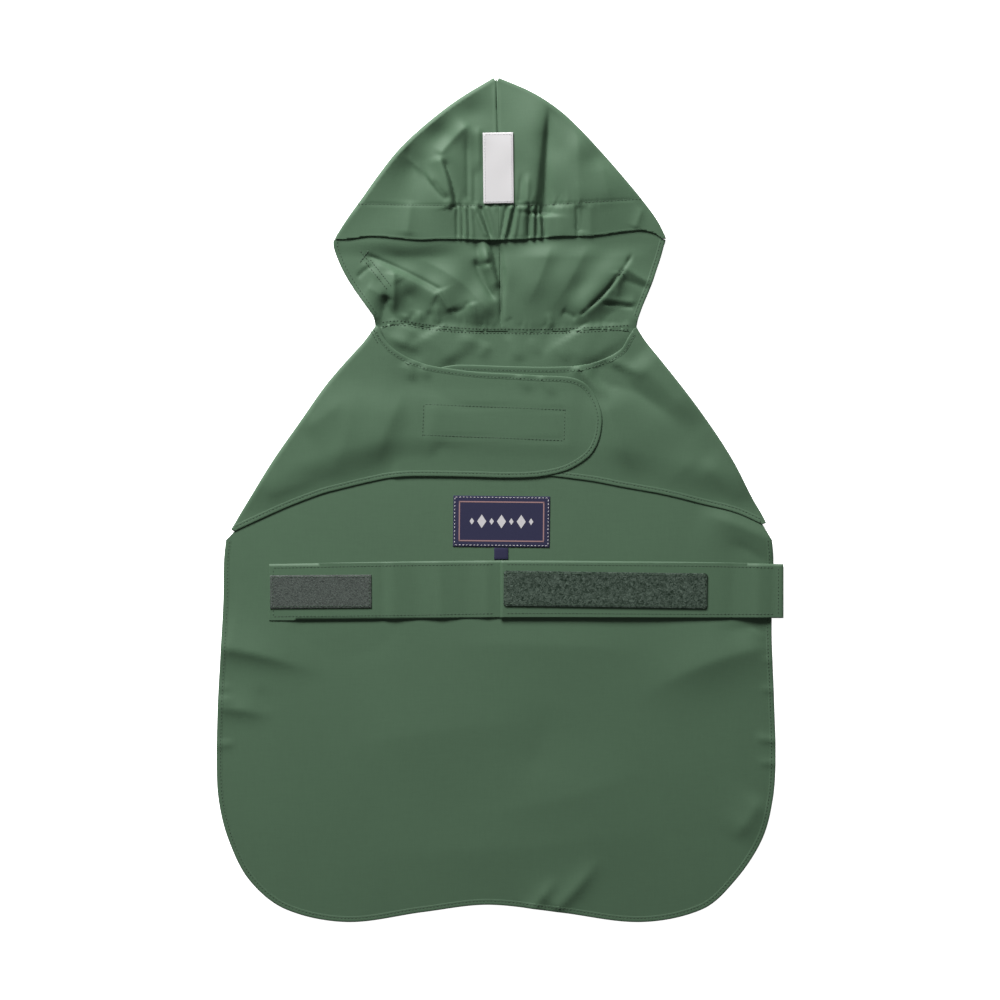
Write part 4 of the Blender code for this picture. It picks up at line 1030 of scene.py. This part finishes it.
sewn_patch("reflective_strip_film", REFLECTIVE, 0.5, 0.0, strip_height, reflective,
           "reflective_strip")

# ------------------------------------------------------------------ woven label and size tab
# A navy label sewn on its four sides inside the back, with a border and a row of lozenges
# woven in it, and a small plain folded tab under it.
WOVEN_LABEL = (1.1, -16.1, 72.5, 38.2, -0.6)
SIZE_TAB = (0.9, -40.2, 10.6, 8.8, 0.0)
LABEL_THICK = 0.6

label_navy = cloth_material("label_navy", (0.010, 0.010, 0.034), 0.8)
woven_pink = cloth_material("woven_pink", (0.20, 0.115, 0.115), 0.7)
woven_white = cloth_material("woven_white", (0.36, 0.35, 0.36), 0.7)
for name, patch, node in (("woven_label_cloth", WOVEN_LABEL, "woven_label"),
                          ("size_tab_cloth", SIZE_TAB, "size_tab")):
    sewn_patch(name, patch, LABEL_THICK, 0.0, lambda x, y: back_height(x, y) + CLOTH / 2,
               label_navy, node)

# The label's woven border and lozenges, and the white stitches round it and the strip
LABEL_TOP = CLOTH / 2 + LABEL_THICK + 0.02
WOVEN_PROUD = 0.08      # what the woven design stands out by
LOZENGE_SPACING = 7.4
border, lozenges, label_thread = bmesh.new(), bmesh.new(), bmesh.new()
for x, y, length, width in ((0, 14.6, 64.0, 0.9), (0, -14.6, 64.0, 0.9), (-31.6, 0, 0.9, 29.0),
                            (31.6, 0, 0.9, 29.0)):
    bmesh.ops.create_grid(border, x_segments=1, y_segments=1, size=0.5,
                          matrix=(Matrix.Translation((x, y, 0))
                                  @ Matrix.Diagonal((length, width, 1, 1))))
for k in range(-3, 4):
    wide = 3.4 if k % 2 == 0 else 1.7
    bmesh.ops.create_circle(lozenges, cap_ends=True, segments=4, radius=1.0,
                            matrix=(Matrix.Translation((k * LOZENGE_SPACING, 0, 0))
                                    @ Matrix.Diagonal((wide, wide * 1.5, 1, 1))))
on_label = Matrix.Translation((0, 0, REST + LABEL_TOP)) @ patch_matrix(WOVEN_LABEL)
for shape, name, thread in ((border, "label_border", woven_pink),
                            (lozenges, "label_lozenges", woven_white)):
    bmesh.ops.transform(shape, matrix=on_label, verts=shape.verts)
    solid = bmesh.ops.extrude_face_region(shape, geom=shape.faces[:])["geom"]
    bmesh.ops.translate(shape, vec=(0, 0, WOVEN_PROUD),
                        verts=[part for part in solid if isinstance(part, bmesh.types.BMVert)])
    bmesh.ops.recalc_face_normals(shape, faces=shape.faces)
    make_piece(shape, name, thread).data.shade_flat()
sew_round(label_thread, WOVEN_LABEL, 1.2, back_height, 51, LABEL_TOP)
sew_round(label_thread, REFLECTIVE, 1.4, strip_height, 52, 0.52, 2.2)
make_piece(label_thread, "label_stitches", woven_white)

# ------------------------------------------------------------------ table, light and camera
# The coat lies on a plain white table under one soft light from its hood's end, a little to
# the left, with a weak fill, and is seen from straight above.
VIEW_WIDTH = 750.0
CAMERA_HEIGHT = 3000.0
SENSOR = 36.0

table_shape = bmesh.new()
bmesh.ops.create_grid(table_shape, x_segments=1, y_segments=1, size=4.0,
                      matrix=Matrix.Translation((0, 0, -0.0001)))
table_mesh = bpy.data.meshes.new("table")
table_shape.to_mesh(table_mesh)
table_shape.free()
table_white = bpy.data.materials.new("table_white")
table_white.use_nodes = True
table_look = table_white.node_tree.nodes["Principled BSDF"].inputs
table_look["Base Color"].default_value = (0.93, 0.93, 0.93, 1)
table_look["Roughness"].default_value = 0.9
table_look["Emission Color"].default_value = (1, 1, 1, 1)
table_look["Emission Strength"].default_value = 0.9
table_mesh.materials.append(table_white)
table = bpy.data.objects.new("table", table_mesh)
bpy.context.scene.collection.objects.link(table)


def area_light(name, place, width, height, power):
    """A rectangular light at that place, aimed at the coat's middle."""
    data = bpy.data.lights.new(name, "AREA")
    data.shape = "RECTANGLE"
    data.size, data.size_y = width, height
    data.energy = power
    light = bpy.data.objects.new(name, data)
    light.location = place
    light.rotation_euler = (-Vector(place)).to_track_quat("-Z", "Y").to_euler()
    bpy.context.scene.collection.objects.link(light)


area_light("key", (-0.80, 1.90, 1.10), 1.3, 0.9, 172.0)
area_light("fill", (0.4, -0.6, 2.2), 2.0, 2.0, 3.5)
world = bpy.data.worlds.new("studio")
world.use_nodes = True
background = world.node_tree.nodes["Background"].inputs
background["Color"].default_value = (1, 1, 1, 1)
background["Strength"].default_value = 0.12
bpy.context.scene.world = world
bpy.context.scene.view_settings.view_transform = "Standard"

camera_data = bpy.data.cameras.new("camera")
camera_data.sensor_width = SENSOR
camera_data.lens = SENSOR * CAMERA_HEIGHT / VIEW_WIDTH
camera_data.clip_end = 20.0
camera = bpy.data.objects.new("camera", camera_data)
camera.location = (0, 0, CAMERA_HEIGHT * MM)
bpy.context.scene.collection.objects.link(camera)
bpy.context.scene.camera = camera
